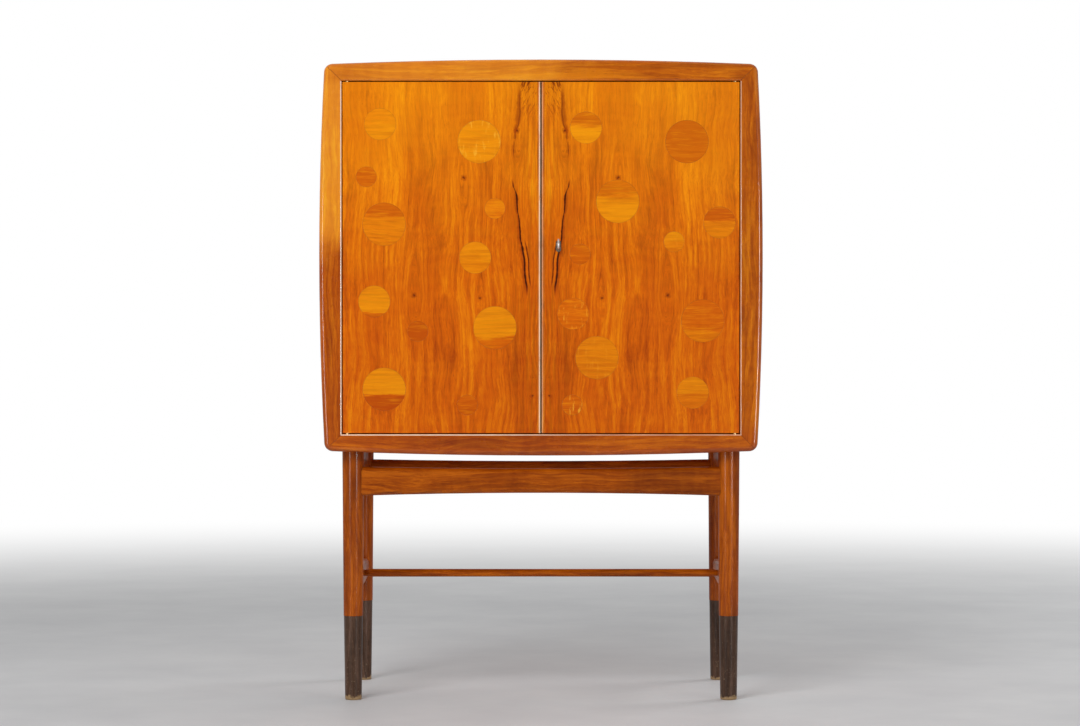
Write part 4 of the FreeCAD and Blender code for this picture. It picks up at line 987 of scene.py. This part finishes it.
@dataclass(frozen=True)
class Felt(Finish):
    """Short, dense felt."""

    name: str = "felt"
    dark: Colour = shade("26301F")
    light: Colour = shade("4A5840")

    def paint(self, effects: SharedEffects, place: Signal, laid: Signal) -> None:
        """Raise the nap.

        Args:
            effects: The shared node groups, which felt doesn't use.
            place: The place on the piece.
            laid: The same place, as felt has no grain; it is not used.
        """
        nap = place.noise((1400, 1400, 1400), 4, 0.7)
        place.graph.surface(
            Base_Color=nap.ramp(((0.3, self.dark), (0.7, self.light))),
            Roughness=0.95,
            Normal=place.graph.bump(nap, 0.4 * MM),
            Sheen_Weight=0.4,
        )


@dataclass(frozen=True)
class Finishes:
    """Every finish of the cabinet; a wood's shades are dark, middle, light and patch."""

    effects: SharedEffects
    case: Timber = Timber("case_veneer", *shades("9A4002 CA6204 EC8C12 8A3602"))
    lipping: Timber = FrameTimber(
        "solid_lipping",
        *shades("963E02 C05C02 E6840C 7E3002"),
        patches=0.4,
        streaks=0.6,
        coat=0.6,
        coat_roughness=0.07,
        roughness=0.28,
    )
    edging: Timber = EdgingTimber("door_edging", *shades("A04A02 D66C02 F29416 A04602"))
    door: Timber = DoorVeneer(
        "door_veneer",
        *shades("B24600 E46D00 FF9806 D05200"),
        patches=0.45,
        ring_share=0.16,
        pith_depth=0.193,
        pith_lean=0.035,
        sheen=0.1,
    )
    inlay: Timber = InlayVeneer(
        "inlay_veneer", *shades("CC5E00 E66E00 F89008 D05A00"), patches=0.2, pores=0.3, sheen=0.1
    )
    leg: Timber = Timber(
        "leg_wood",
        *shades("7A3002 A44A02 D06C0C 5E2002"),
        streaks=0.6,
        roughness=0.42,
        sheen=0.06,
        coat=0.22,
        coat_roughness=0.09,
    )
    shoe: Timber = ShoeTimber(
        "shoe_wood",
        *shades("2E1D15 4E3626 6E5040 241710"),
        roughness=0.36,
        coat=0.2,
        rub=shade("8A705A"),
    )
    inner: Timber = Timber("inner_wood", *shades("9C6628 CE9A55 E8C080 B07A3A"), patches=0.3)
    panel: Timber = Timber("panel_veneer", *shades("943A02 C65E04 E88610 863202"))
    brass: Metal = Metal("brass", *shades("BE9650 6E5028"), 0.38)
    steel: Metal = Metal("steel", *shades("D4D4D0 8A8882"), 0.28)
    # Only half metal, so the key shows bright under any light: painted brightness standing in for
    # a front light's reflection on its bow.
    nickel: Metal = Metal("key_nickel", *shades("F4F4F2 BEBCB6"), 0.22, 0.55)
    # Partly tarnish, partly painted: the plate's dark colour also stands in for the dark
    # surroundings it reflects.
    tarnish_and_dark_reflection: Metal = Metal("tarnish_and_dark_reflection_plate", *shades("8E8272 3E3226"), 0.42)
    felt: Felt = Felt()


# ---------------------------------------------------------------- pieces

Profile = Sequence[tuple[float, float]]
Box = tuple[Vector, Vector]

# Shading runs on across an edge below this angle, and a face with more corners than this is a
# flat end.
SHADING_ANGLE = math.radians(40.0)
MOST_CORNERS = 4

TOWARDS_FRONT = Matrix.Rotation(math.radians(90.0), 4, "X")
TOWARDS_BACK = Matrix.Rotation(math.radians(-90.0), 4, "X")
UPSIDE_DOWN = Matrix.Rotation(math.pi, 4, "X")
ALONG_X = Matrix.Rotation(math.radians(90.0), 4, "Y")


def at(x: float, y: float, z: float) -> Matrix:
    """Make the move to a place."""
    return Matrix.Translation((x, y, z))


def turned(degrees: float) -> Matrix:
    """Make a turn about Z."""
    return Matrix.Rotation(math.radians(degrees), 4, "Z")


def only(kind: type, items: Sequence[object]) -> list:
    """Pick the items of one kind."""
    return [item for item in items if isinstance(item, kind)]


def cut_beside(part: bmesh.types.BMesh, half: float) -> None:
    """Cut a part's faces in two planes, on either side of its middle.

    Args:
        part: The part.
        half: How far each plane is from the middle, along Y.
    """
    for side in (-half, half):
        bmesh.ops.bisect_plane(
            part,
            geom=part.faces[:] + part.edges[:] + part.verts[:],
            plane_co=(0.0, side, 0.0),
            plane_no=(0.0, 1.0, 0.0),
        )


def islands(node: str) -> list[Box]:
    """Find the separate parts of a CAD node.

    Args:
        node: The node's name.

    Returns:
        Each part's lowest and highest corner in millimetres.
    """
    shape = bmesh.new()
    shape.from_mesh(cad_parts[node].data)
    bmesh.ops.remove_doubles(shape, verts=shape.verts[:], dist=0.001 * MM)
    waiting = set(shape.verts)
    boxes: list[Box] = []
    while waiting:
        reached = {waiting.pop()}
        outermost = set(reached)
        while outermost:
            point = outermost.pop()
            fresh = {edge.other_vert(point) for edge in point.link_edges} & waiting
            waiting -= fresh
            reached |= fresh
            outermost |= fresh
        places = [point.co / MM for point in reached]
        low = Vector([min(place[axis] for place in places) for axis in range(3)])
        high = Vector([max(place[axis] for place in places) for axis in range(3)])
        boxes.append((low, high))
    shape.free()
    return boxes


@dataclass(frozen=True)
class Screw:
    """A slotted countersunk screw with a pointed tip.

    The slot's sizes are shares of the head's radius, and the tip's length of the shank's.
    """

    head: float
    shank: float
    edge: float = 0.25
    slot_half: float = 0.16
    slot_depth: float = 0.3
    tip_length: float = 1.6
    tip_radius: float = 0.001
    sides: int = 32

    def make(self, length: float) -> bmesh.types.BMesh:
        """Make the screw, its head's face at the origin and its tip below.

        Args:
            length: The whole length.

        Returns:
            The screw.
        """
        part = bmesh.new()
        before = self.head - self.edge
        bmesh.ops.create_circle(part, cap_ends=True, segments=self.sides, radius=before)
        cut_beside(part, self.head * self.slot_half)
        slot = min(part.faces, key=lambda face: abs(face.calc_center_median().y))
        sunk = bmesh.ops.extrude_face_region(part, geom=[slot])["geom"]
        depth = self.head * self.slot_depth
        bmesh.ops.translate(part, verts=only(bmesh.types.BMVert, sunk), vec=(0.0, 0.0, -depth))
        bmesh.ops.delete(part, geom=[slot], context="FACES_ONLY")
        steps = (
            (self.head, -self.edge),
            (self.head, -2 * self.edge),
            (self.shank, -2 * self.edge - (self.head - self.shank)),
            (self.shank, self.tip_length * self.shank - length),
            (self.tip_radius, -length),
        )
        rim = [edge for edge in part.edges if edge.is_boundary]
        for radius, height in steps:
            rim = only(bmesh.types.BMEdge, bmesh.ops.extrude_edge_only(part, edges=rim)["geom"])
            share = radius / before
            for point in {end for edge in rim for end in edge.verts}:
                point.co = (point.co.x * share, point.co.y * share, height)
            before = radius
        bmesh.ops.remove_doubles(part, verts=part.verts[:], dist=3 * self.tip_radius)
        bmesh.ops.holes_fill(part, edges=part.edges[:], sides=0)
        return part


class Piece:
    """A new piece while it is shaped; lengths are in millimetres until it is done."""

    def __init__(self, name: str, body: str, slot: str) -> None:
        """Start an empty piece.

        Args:
            name: The piece's name.
            body: The body it rides on.
            slot: The name of a material slot; it is kept but not used.
        """
        self.name = name
        self.body = body
        self.slot = slot
        self.shape = bmesh.new()

    def turn(self, profile: Profile, place: Matrix, steps: int) -> None:
        """Turn a profile on the lathe.

        Args:
            profile: Radius and height of each point; the ends lie on the axis or meet.
            place: Where the turned part goes; its axis is Z before that.
            steps: How many sides it has.
        """
        part = bmesh.new()
        points = [part.verts.new((radius, 0.0, height)) for radius, height in profile]
        for first, second in zip(points, points[1:]):
            part.edges.new((first, second))
        bmesh.ops.spin(
            part,
            geom=part.verts[:] + part.edges[:],
            axis=(0.0, 0.0, 1.0),
            cent=(0.0, 0.0, 0.0),
            angle=math.tau,
            steps=steps,
            use_merge=True,
        )
        bmesh.ops.remove_doubles(part, verts=part.verts[:], dist=0.0005)
        self.add(part, place)

    def add(self, part: bmesh.types.BMesh, place: Matrix) -> None:
        """Put a finished part into the piece, its faces outwards.

        Args:
            part: The part.
            place: Where it goes.
        """
        bmesh.ops.recalc_face_normals(part, faces=part.faces[:])
        bmesh.ops.transform(part, matrix=place, verts=part.verts[:])
        mesh = bpy.data.meshes.new("part")
        part.to_mesh(mesh)
        part.free()
        self.shape.from_mesh(mesh)
        bpy.data.meshes.remove(mesh)

    def done(self, material: bpy.types.Material, node: str) -> None:
        """Turn the piece into an object on its body, its flat ends shaded flat.

        Args:
            material: Its finish.
            node: The CAD node it stands for.
        """
        bmesh.ops.scale(self.shape, vec=(MM, MM, MM), verts=self.shape.verts[:])
        for face in self.shape.faces:
            face.smooth = len(face.verts) <= MOST_CORNERS
        for edge in self.shape.edges:
            edge.smooth = edge.calc_face_angle(math.pi) < SHADING_ANGLE
        mesh = bpy.data.meshes.new(self.name)
        self.shape.to_mesh(mesh)
        self.shape.free()
        mesh.materials.append(material)
        piece = bpy.data.objects.new(self.name, mesh)
        bpy.context.scene.collection.objects.link(piece)
        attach(piece, self.body)
        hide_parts(node)
        LOG.info("%s: %d faces on %s", self.name, len(mesh.polygons), self.body)


# ---------------------------------------------------------------- sub-assemblies


class Side(Enum):
    """Which side of the cabinet."""

    LEFT = "left"
    RIGHT = "right"


@dataclass
class SubAssembly:
    """A group of parts that is dressed together."""

    finishes: Finishes

    def made(self, finish: Finish, grain: Grain | None = None) -> bpy.types.Material:
        """Find or make a finish's material."""
        return finish.material(self.finishes.effects, grain)

    def dress(self, finish: Finish, *nodes: str, grain: Grain | None = None) -> None:
        """Give CAD nodes a finish.

        Args:
            finish: The finish.
            nodes: The nodes' names.
            grain: Which way the grain runs, for wood.
        """
        material = self.made(finish, grain)
        for name in nodes:
            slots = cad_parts[name].data.materials
            slots.clear()
            slots.append(material)
            LOG.info("%s dressed in %s", name, material.name)


@dataclass
class Case(SubAssembly):
    """The open box with its front frame, back panel and screws."""

    panel_screw: Screw = Screw(3.6, 2.0)
    panel_screw_turn: float = 37.0
    rail_screw: Screw = Screw(6.0, 3.5)

    def build(self) -> None:
        """Dress the boards and drive the screws."""
        case, lipping = self.finishes.case, self.finishes.lipping
        self.dress(case, "left_side", "right_side", grain=Grain.UPRIGHT)
        self.dress(case, "top_board", "bottom_board", grain=Grain.ACROSS)
        self.dress(lipping, "left_lipping", "right_lipping", grain=Grain.UPRIGHT)
        self.dress(lipping, "top_lipping", "bottom_lipping", grain=Grain.ACROSS)
        self.dress(self.finishes.panel, "back_panel", grain=Grain.UPRIGHT)
        self._panel_screws()
        self._rail_screws()

    def _panel_screws(self) -> None:
        """Drive the screws that hold the back panel."""
        screws = Piece("back_screws", "case", "steel")
        for index, (low, high) in enumerate(islands("back_panel_screws")):
            middle = (low + high) / 2
            place = at(middle.x, high.y, middle.z) @ TOWARDS_BACK
            place = place @ turned(self.panel_screw_turn * index)
            screws.add(self.panel_screw.make(high.y - low.y), place)
        screws.done(self.made(self.finishes.steel), "back_panel_screws")

    def _rail_screws(self) -> None:
        """Drive the screws that hold the side rails to the case."""
        screws = Piece("rail_screws", "case", "steel")
        for low, high in islands("case_screws"):
            middle = (low + high) / 2
            place = at(middle.x, middle.y, low.z) @ UPSIDE_DOWN
            screws.add(self.rail_screw.make(high.z - low.z), place)
        screws.done(self.made(self.finishes.steel), "case_screws")


@dataclass
class Interior(SubAssembly):
    """The partition, the shelves and what holds them."""

    def build(self) -> None:
        """Dress the inner boards, the pins and the bumpers."""
        inner = self.finishes.inner
        shelves = [f"{side.value}_{row}_shelf" for side in Side for row in ("lower", "upper")]
        self.dress(inner, "partition", grain=Grain.UPRIGHT)
        self.dress(inner, *shelves, grain=Grain.ACROSS)
        self.dress(self.finishes.brass, "shelf_pins")
        self.dress(self.finishes.felt, "door_bumpers")


@dataclass
class FoldShelf(SubAssembly):
    """The shelf that folds out behind the right door, with its cheeks and pads."""

    def build(self) -> None:
        """Dress the shelf, its cheeks, pins and pads."""
        inner = self.finishes.inner
        boards = ("fold_shelf", "fold_shelf_lipping", "shelf_stop_rail")
        self.dress(inner, *boards, grain=Grain.ACROSS)
        self.dress(inner, "shelf_left_cheek", "shelf_right_cheek", grain=Grain.DEEP)
        self.dress(self.finishes.brass, "shelf_pivot_pins")
        self.dress(self.finishes.felt, "shelf_rest_pads")


@dataclass
class Base(SubAssembly):
    """The turned legs with their shoes, rails and stretchers."""

    def build(self) -> None:
        """Dress the legs, shoes, rails and stretchers."""
        leg, shoe = self.finishes.leg, self.finishes.shoe
        for corner in [f"{depth}_{side.value}" for depth in ("front", "back") for side in Side]:
            self.dress(leg, f"{corner}_leg", grain=Grain.UPRIGHT)
            self.dress(shoe, f"{corner}_shoe", grain=Grain.UPRIGHT)
        self.dress(leg, "shoe_dowels", grain=Grain.UPRIGHT)
        self.dress(leg, "front_rail", "back_rail", "long_stretcher", grain=Grain.ACROSS)
        for side in Side:
            rails = (f"{side.value}_side_rail", f"{side.value}_stretcher")
            self.dress(leg, *rails, grain=Grain.DEEP)


@dataclass(frozen=True)
class DiscTone:
    """How light the two parts of an inlay are, where they meet, and its upright rays.

    Its place is given as shares of the door's width and height.
    """

    across: float
    up: float
    upper: float
    lower: float
    meeting: float = 0.5
    rays: float = 0.0


LEFT_TONES = (
    DiscTone(0.19, 0.88, 0.66, 0.75),
    DiscTone(0.69, 0.83, 0.74, 0.76, 0.4, 0.75),
    DiscTone(0.12, 0.73, 0.28, 0.26),
    DiscTone(0.21, 0.595, 0.26, 0.62, 0.7),
    DiscTone(0.77, 0.64, 0.56, 0.5, 0.35),
    DiscTone(0.67, 0.50, 0.74, 0.68, 0.4),
    DiscTone(0.16, 0.375, 0.78, 0.14, 0.14),
    DiscTone(0.38, 0.29, 0.14, 0.12),
    DiscTone(0.77, 0.30, 0.8, 0.42, 0.26),
    DiscTone(0.21, 0.125, 0.78, 0.06, 0.36),
    DiscTone(0.63, 0.08, 0.3, 0.24),
)
RIGHT_TONES = (
    DiscTone(0.225, 0.87, 0.3, 0.78, 0.55),
    DiscTone(0.735, 0.83, 0.2, 0.24),
    DiscTone(0.385, 0.66, 0.46, 0.78, 0.6),
    DiscTone(0.90, 0.60, 0.22, 0.66, 0.58),
    DiscTone(0.67, 0.545, 0.78, 0.62, 0.5, 0.2),
    DiscTone(0.195, 0.51, 0.32, 0.32),
    DiscTone(0.16, 0.34, 0.5, 0.46, 0.3, 0.7),
    DiscTone(0.815, 0.32, 0.4, 0.62, 0.3),
    DiscTone(0.28, 0.215, 0.66, 0.64, 0.35, 0.2),
    DiscTone(0.765, 0.115, 0.72, 0.6),
    DiscTone(0.155, 0.08, 0.4, 0.38, 0.6, 0.7),
)


@dataclass
class Door(SubAssembly):
    """One door: its veneered panel, edging and round inlays."""

    side: Side
    tones: tuple[DiscTone, ...]
    disc_rounding: float = 0.18
    disc_sides: int = 128

    @property
    def body(self) -> str:
        """The body that the door is."""
        return f"{self.side.value}_door"

    def build(self) -> None:
        """Dress the door and lay its inlays."""
        self.dress(self.finishes.door, f"{self.body}_panel", grain=Grain.UPRIGHT)
        self.dress(self.finishes.edging, f"{self.body}_edging", grain=Grain.UPRIGHT)
        self._inlays()

    def _inlays(self) -> None:
        """Cut the round inlays, each with its own tones."""
        node = f"{self.body}_inlays"
        panel_low, panel_high = (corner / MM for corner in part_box(f"{self.body}_panel"))
        size = panel_high - panel_low
        inlays = Piece(f"{self.body}_discs", self.body, "inlay_veneer")
        for low, high in islands(node):
            middle = (low + high) / 2
            share = ((middle.x - panel_low.x) / size.x, (middle.z - panel_low.z) / size.z)
            tone = min(self.tones, key=lambda row: math.dist(share, (row.across, row.up)))
            disc = self._disc((high.z - low.z) / 2, high.y - low.y, tone)
            inlays.add(disc, at(middle.x, low.y, middle.z) @ TOWARDS_FRONT)
        inlays.done(self.made(self.finishes.inlay, Grain.ACROSS), node)

    def _disc(self, radius: float, depth: float, tone: DiscTone) -> bmesh.types.BMesh:
        """Cut one round inlay, its face up.

        Args:
            radius: Its radius.
            depth: How deep it is let in.
            tone: Its tones.

        Returns:
            The disc, mapped from 0 to 1 across and up.
        """
        disc = bmesh.new()
        sheet = disc.loops.layers.uv.new("disc_map")
        tint = disc.loops.layers.float_color.new("disc_tones")
        bmesh.ops.create_circle(disc, cap_ends=True, segments=self.disc_sides, radius=radius)
        rim = disc.edges[:]
        grown = bmesh.ops.extrude_face_region(disc, geom=disc.faces[:])["geom"]
        back = only(bmesh.types.BMVert, grown)
        bmesh.ops.translate(disc, verts=back, vec=(0.0, 0.0, -depth))
        bmesh.ops.bevel(
            disc,
            geom=rim,
            offset=self.disc_rounding,
            offset_type="OFFSET",
            segments=2,
            affect="EDGES",
            profile=0.5,
            material=-1,
        )
        for loop in [loop for face in disc.faces for loop in face.loops]:
            spot = loop.vert.co / (2 * radius)
            loop[sheet].uv = (spot.x + 0.5, spot.y + 0.5)
            loop[tint] = (tone.upper, tone.lower, tone.meeting, tone.rays)
        return disc


@dataclass
class Fittings(SubAssembly):
    """Hinges, slide bolt and guide."""

    screw: Screw = Screw(3.0, 1.6)
    first_slot: float = 25.0
    next_slot: float = 47.0
    opening_middle: float = 866.5
    bolt_radius: float = 3.0
    bolt_easing: float = 0.7
    knob_height: float = 574.3
    knob: Profile = (
        (0.0, 0.0),
        (2.0, 0.0),
        (2.0, 4.6),
        (2.5, 5.4),
        (3.2, 6.2),
        (3.2, 8.0),
        (2.7, 8.8),
        (1.6, 9.0),
        (0.0, 9.0),
    )
    sides: int = 40

    def build(self) -> None:
        """Dress the leaves and the guide, drive the hinge screws and turn the bolt."""
        self.dress(self.finishes.brass, "case_hinge_leaves", "slide_bolt_guide")
        self._hinge_screws("case", "case_leaf_screws", outward=True)
        for door in [f"{side.value}_door" for side in Side]:
            self.dress(self.finishes.brass, f"{door}_hinge_leaves")
            self._hinge_screws(door, f"{door}_leaf_screws", outward=False)
        self._slide_bolt()

    def _hinge_screws(self, body: str, name: str, outward: bool) -> None:
        """Drive one set of hinge screws.

        Args:
            body: The body that carries them.
            name: The piece's name.
            outward: Whether they run away from the middle of the opening.
        """
        node = f"{body}_hinge_screws"
        screws = Piece(name, body, "brass")
        for index, (low, high) in enumerate(islands(node)):
            middle = (low + high) / 2
            upward = (middle.z > self.opening_middle) == outward
            place = at(middle.x, middle.y, low.z if upward else high.z)
            if upward:
                place = place @ UPSIDE_DOWN
            place = place @ turned(self.first_slot + self.next_slot * index)
            screws.add(self.screw.make(high.z - low.z), place)
        screws.done(self.made(self.finishes.brass), node)

    def _slide_bolt(self) -> None:
        """Turn the slide bolt and its knob."""
        low, high = (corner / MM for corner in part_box("slide_bolt"))
        x, y = (low.x + high.x) / 2, low.y + self.bolt_radius
        length, thick, easing = high.z - low.z, self.bolt_radius, self.bolt_easing
        bolt = Piece("left_slide_bolt", "slide_bolt", "brass")
        shaft = (
            (0.0, 0.0),
            (thick - easing, 0.0),
            (thick, easing),
            (thick, length - easing),
            (thick - easing, length),
            (0.0, length),
        )
        bolt.turn(shaft, at(x, y, low.z), self.sides)
        bolt.turn(self.knob, at(x, y, self.knob_height) @ TOWARDS_BACK, self.sides)
        bolt.done(self.made(self.finishes.brass), "slide_bolt")


@dataclass
class Lock(SubAssembly):
    """The lock with its key and its keyhole plate."""

    axis: tuple[float, float] = (34.0, 892.5)
    bow_middle: float = -215.5
    ring_radius: float = 8.5
    ring_breadth: float = 4.0
    ring_thickness: float = 4.0
    ring_corners: int = 16
    ring_sides: int = 64
    shank_sides: int = 40
    shank_radius: float = 2.5
    shank_start: float = -207.0
    shank_end: float = -185.1
    collar_radius: float = 3.4
    collar_front: float = 3.0
    collar_back: float = 5.0
    bit: tuple[float, float, float] = (2.4, 6.6, 9.0)
    bit_middle: float = -190.0
    ward: float = 3.2
    ward_half: float = 0.7

    def build(self) -> None:
        """Make the key and dress the lock."""
        self._key()
        self.dress(self.finishes.tarnish_and_dark_reflection, "escutcheon")
        self.dress(self.finishes.steel, "lock_case", "lock_bolt", "keeper_plate")

    def _key(self) -> None:
        """Make the key: a ring bow, a turned shank with a collar, and a bit."""
        x, z = self.axis
        key = Piece("cabinet_key", "key", "steel")
        corners = [math.tau * step / self.ring_corners for step in range(self.ring_corners + 1)]
        ring = [
            (
                self.ring_radius + self.ring_breadth / 2 * math.cos(corner),
                self.ring_thickness / 2 * math.sin(corner),
            )
            for corner in corners
        ]
        key.turn(ring, at(x, self.bow_middle, z) @ ALONG_X, self.ring_sides)
        reach = self.shank_end - self.shank_start
        thick, collar = self.shank_radius, self.collar_radius
        shank = (
            (0.0, 0.0),
            (thick - 0.3, 0.0),
            (thick, 0.3),
            (thick, self.collar_front - 0.6),
            (collar - 0.4, self.collar_front),
            (collar, self.collar_front + 0.4),
            (collar, self.collar_back - 0.4),
            (collar - 0.4, self.collar_back),
            (thick, self.collar_back + 0.2),
            (thick, reach - 0.5),
            (thick - 0.5, reach),
            (0.0, reach),
        )
        key.turn(shank, at(x, self.shank_start, z) @ TOWARDS_BACK, self.shank_sides)
        key.add(self._bit(), at(x, self.bit_middle, z - self.bit[2] / 2))
        key.done(self.made(self.finishes.nickel), "key")

    def _bit(self) -> bmesh.types.BMesh:
        """Make the bit with the cut that clears the lock's ward.

        Returns:
            The bit, its middle at the origin.
        """
        part = bmesh.new()
        bmesh.ops.create_cube(part, size=1.0, matrix=Matrix.Diagonal((*self.bit, 1.0)))
        cut_beside(part, self.ward_half)
        middles = {face: face.calc_center_median() for face in part.faces}
        foot = min(middles, key=lambda face: middles[face].z + abs(middles[face].y))
        raised = bmesh.ops.extrude_face_region(part, geom=[foot])["geom"]
        points = only(bmesh.types.BMVert, raised)
        bmesh.ops.translate(part, verts=points, vec=(0.0, 0.0, self.ward))
        if foot.is_valid:
            bmesh.ops.delete(part, geom=[foot], context="FACES_ONLY")
        return part


# ---------------------------------------------------------------- studio


@dataclass(frozen=True)
class Lamp:
    """A soft lamp without glare, or a strip light that only shows in the gloss."""

    name: str
    spot: tuple[float, float, float]
    size: tuple[float, float]
    power: float
    soft: bool = True

    def hang(self, aim: Vector) -> None:
        """Hang the lamp.

        Args:
            aim: The place that it shines at.
        """
        data = bpy.data.lights.new(self.name, "AREA")
        data.shape = "RECTANGLE"
        data.size, data.size_y = self.size
        data.energy = self.power
        lamp = bpy.data.objects.new(self.name, data)
        lamp.location = self.spot
        lamp.visible_diffuse = self.soft
        lamp.visible_glossy = not self.soft
        lamp.rotation_euler = (aim - Vector(self.spot)).to_track_quat("-Z", "Y").to_euler()
        bpy.context.scene.collection.objects.link(lamp)


@dataclass(frozen=True)
class Studio:
    """The pale floor, the soft light and the camera."""

    camera_place: tuple[float, float, float] = (-0.0019, -6.058, 0.7256)
    camera_dip: float = math.radians(0.63)
    lens: float = 100.2
    sight: float = 100.0
    floor_radius: float = 14.0
    floor_sides: int = 96
    floor_fade: Span = (1.75, 5.6)
    floor_shades: tuple[Colour, ...] = shades("D2D3D5 DEDFE0")
    soft_light: float = 0.38
    gloss_in_front: float = 0.1
    gloss_rise: float = 0.45
    gloss_depth: Span = (-0.9, 0.2)
    lit_place: tuple[float, float, float] = (0.0, 0.0, 0.8)
    lamps: tuple[Lamp, ...] = (
        Lamp("key_lamp", (-1.5, -3.2, 3.1), (1.8, 1.8), 88.0),
        Lamp("fill_lamp", (3.2, -3.6, 1.8), (2.2, 2.2), 24.0),
        Lamp("left_strip", (-2.5, -3.4, 0.66), (0.7, 1.1), 34.0, False),
        Lamp("right_strip", (2.5, -3.4, 0.66), (0.7, 1.1), 48.0, False),
        Lamp("rim_lamp", (2.6, 1.6, 2.2), (1.4, 1.4), 30.0),
    )

    def build(self) -> None:
        """Make the floor, the world, the lamps and the camera."""
        self._floor()
        self._world()
        for lamp in self.lamps:
            lamp.hang(Vector(self.lit_place))
        self._camera()
        bpy.context.scene.view_settings.view_transform = "Standard"
        LOG.info("studio ready")

    def _floor(self) -> None:
        """Lay a round pale floor that fades into the white background."""
        shape = bmesh.new()
        bmesh.ops.create_circle(
            shape, cap_ends=True, segments=self.floor_sides, radius=self.floor_radius
        )
        mesh = bpy.data.meshes.new("studio_floor")
        shape.to_mesh(mesh)
        shape.free()
        floor = bpy.data.objects.new("studio_floor", mesh)
        bpy.context.scene.collection.objects.link(floor)
        graph, material = Graph.for_material("pale_floor")
        place = graph.place()
        colour = place.noise((3, 3, 3), 5, 0.6).ramp(tuple(zip((0.3, 0.7), self.floor_shades)))
        matt = graph.read("ShaderNodeBsdfPrincipled", 0, {"Base Color": colour, "Roughness": 0.55})
        white = graph.read("ShaderNodeEmission", 0, {"Color": WHITE, "Strength": 1.0})
        seen = graph.read("ShaderNodeLightPath", "Is Camera Ray")
        share = place.length().eased(*self.floor_fade) * seen
        graph.show(graph.read("ShaderNodeMixShader", 0, {0: share, 1: matt, 2: white}))
        mesh.materials.append(material)

    def _world(self) -> None:
        """Light the scene softly, with a white background and a dimmer mirror image in front."""
        world = bpy.data.worlds.new("studio_world")
        world.use_nodes = True
        world.node_tree.nodes.clear()
        bpy.context.scene.world = world
        graph = Graph(world.node_tree)
        rays = graph.named(graph.add("ShaderNodeLightPath"))
        _, depth, _ = graph.read("ShaderNodeTexCoord", "Generated").parts()
        gloss = depth.eased(*self.gloss_depth) * self.gloss_rise + self.gloss_in_front
        around = (rays["Is Glossy Ray"] * gloss).most(rays["Is Diffuse Ray"] * self.soft_light)
        strength = rays["Is Camera Ray"].most(rays["Is Transmission Ray"]).most(around)
        sky = graph.read("ShaderNodeBackground", 0, {"Color": WHITE, "Strength": strength})
        graph.show(sky, "ShaderNodeOutputWorld")

    def _camera(self) -> None:
        """Set the camera level with the case's lower part, straight in front."""
        data = bpy.data.cameras.new("camera")
        data.lens = self.lens
        data.clip_end = self.sight
        camera = bpy.data.objects.new("camera", data)
        camera.location = self.camera_place
        camera.rotation_euler = (math.radians(90.0) - self.camera_dip, 0.0, 0.0)
        bpy.context.scene.collection.objects.link(camera)
        bpy.context.scene.camera = camera


def main() -> None:
    """Build every sub-assembly in order."""
    logging.basicConfig(level=logging.INFO, format="%(name)s: %(message)s")
    finishes = Finishes(SharedEffects())
    Case(finishes).build()
    Interior(finishes).build()
    FoldShelf(finishes).build()
    Base(finishes).build()
    Door(finishes, Side.LEFT, LEFT_TONES).build()
    Door(finishes, Side.RIGHT, RIGHT_TONES).build()
    Fittings(finishes).build()
    Lock(finishes).build()
    Studio().build()


if __name__ == "__main__":
    main()
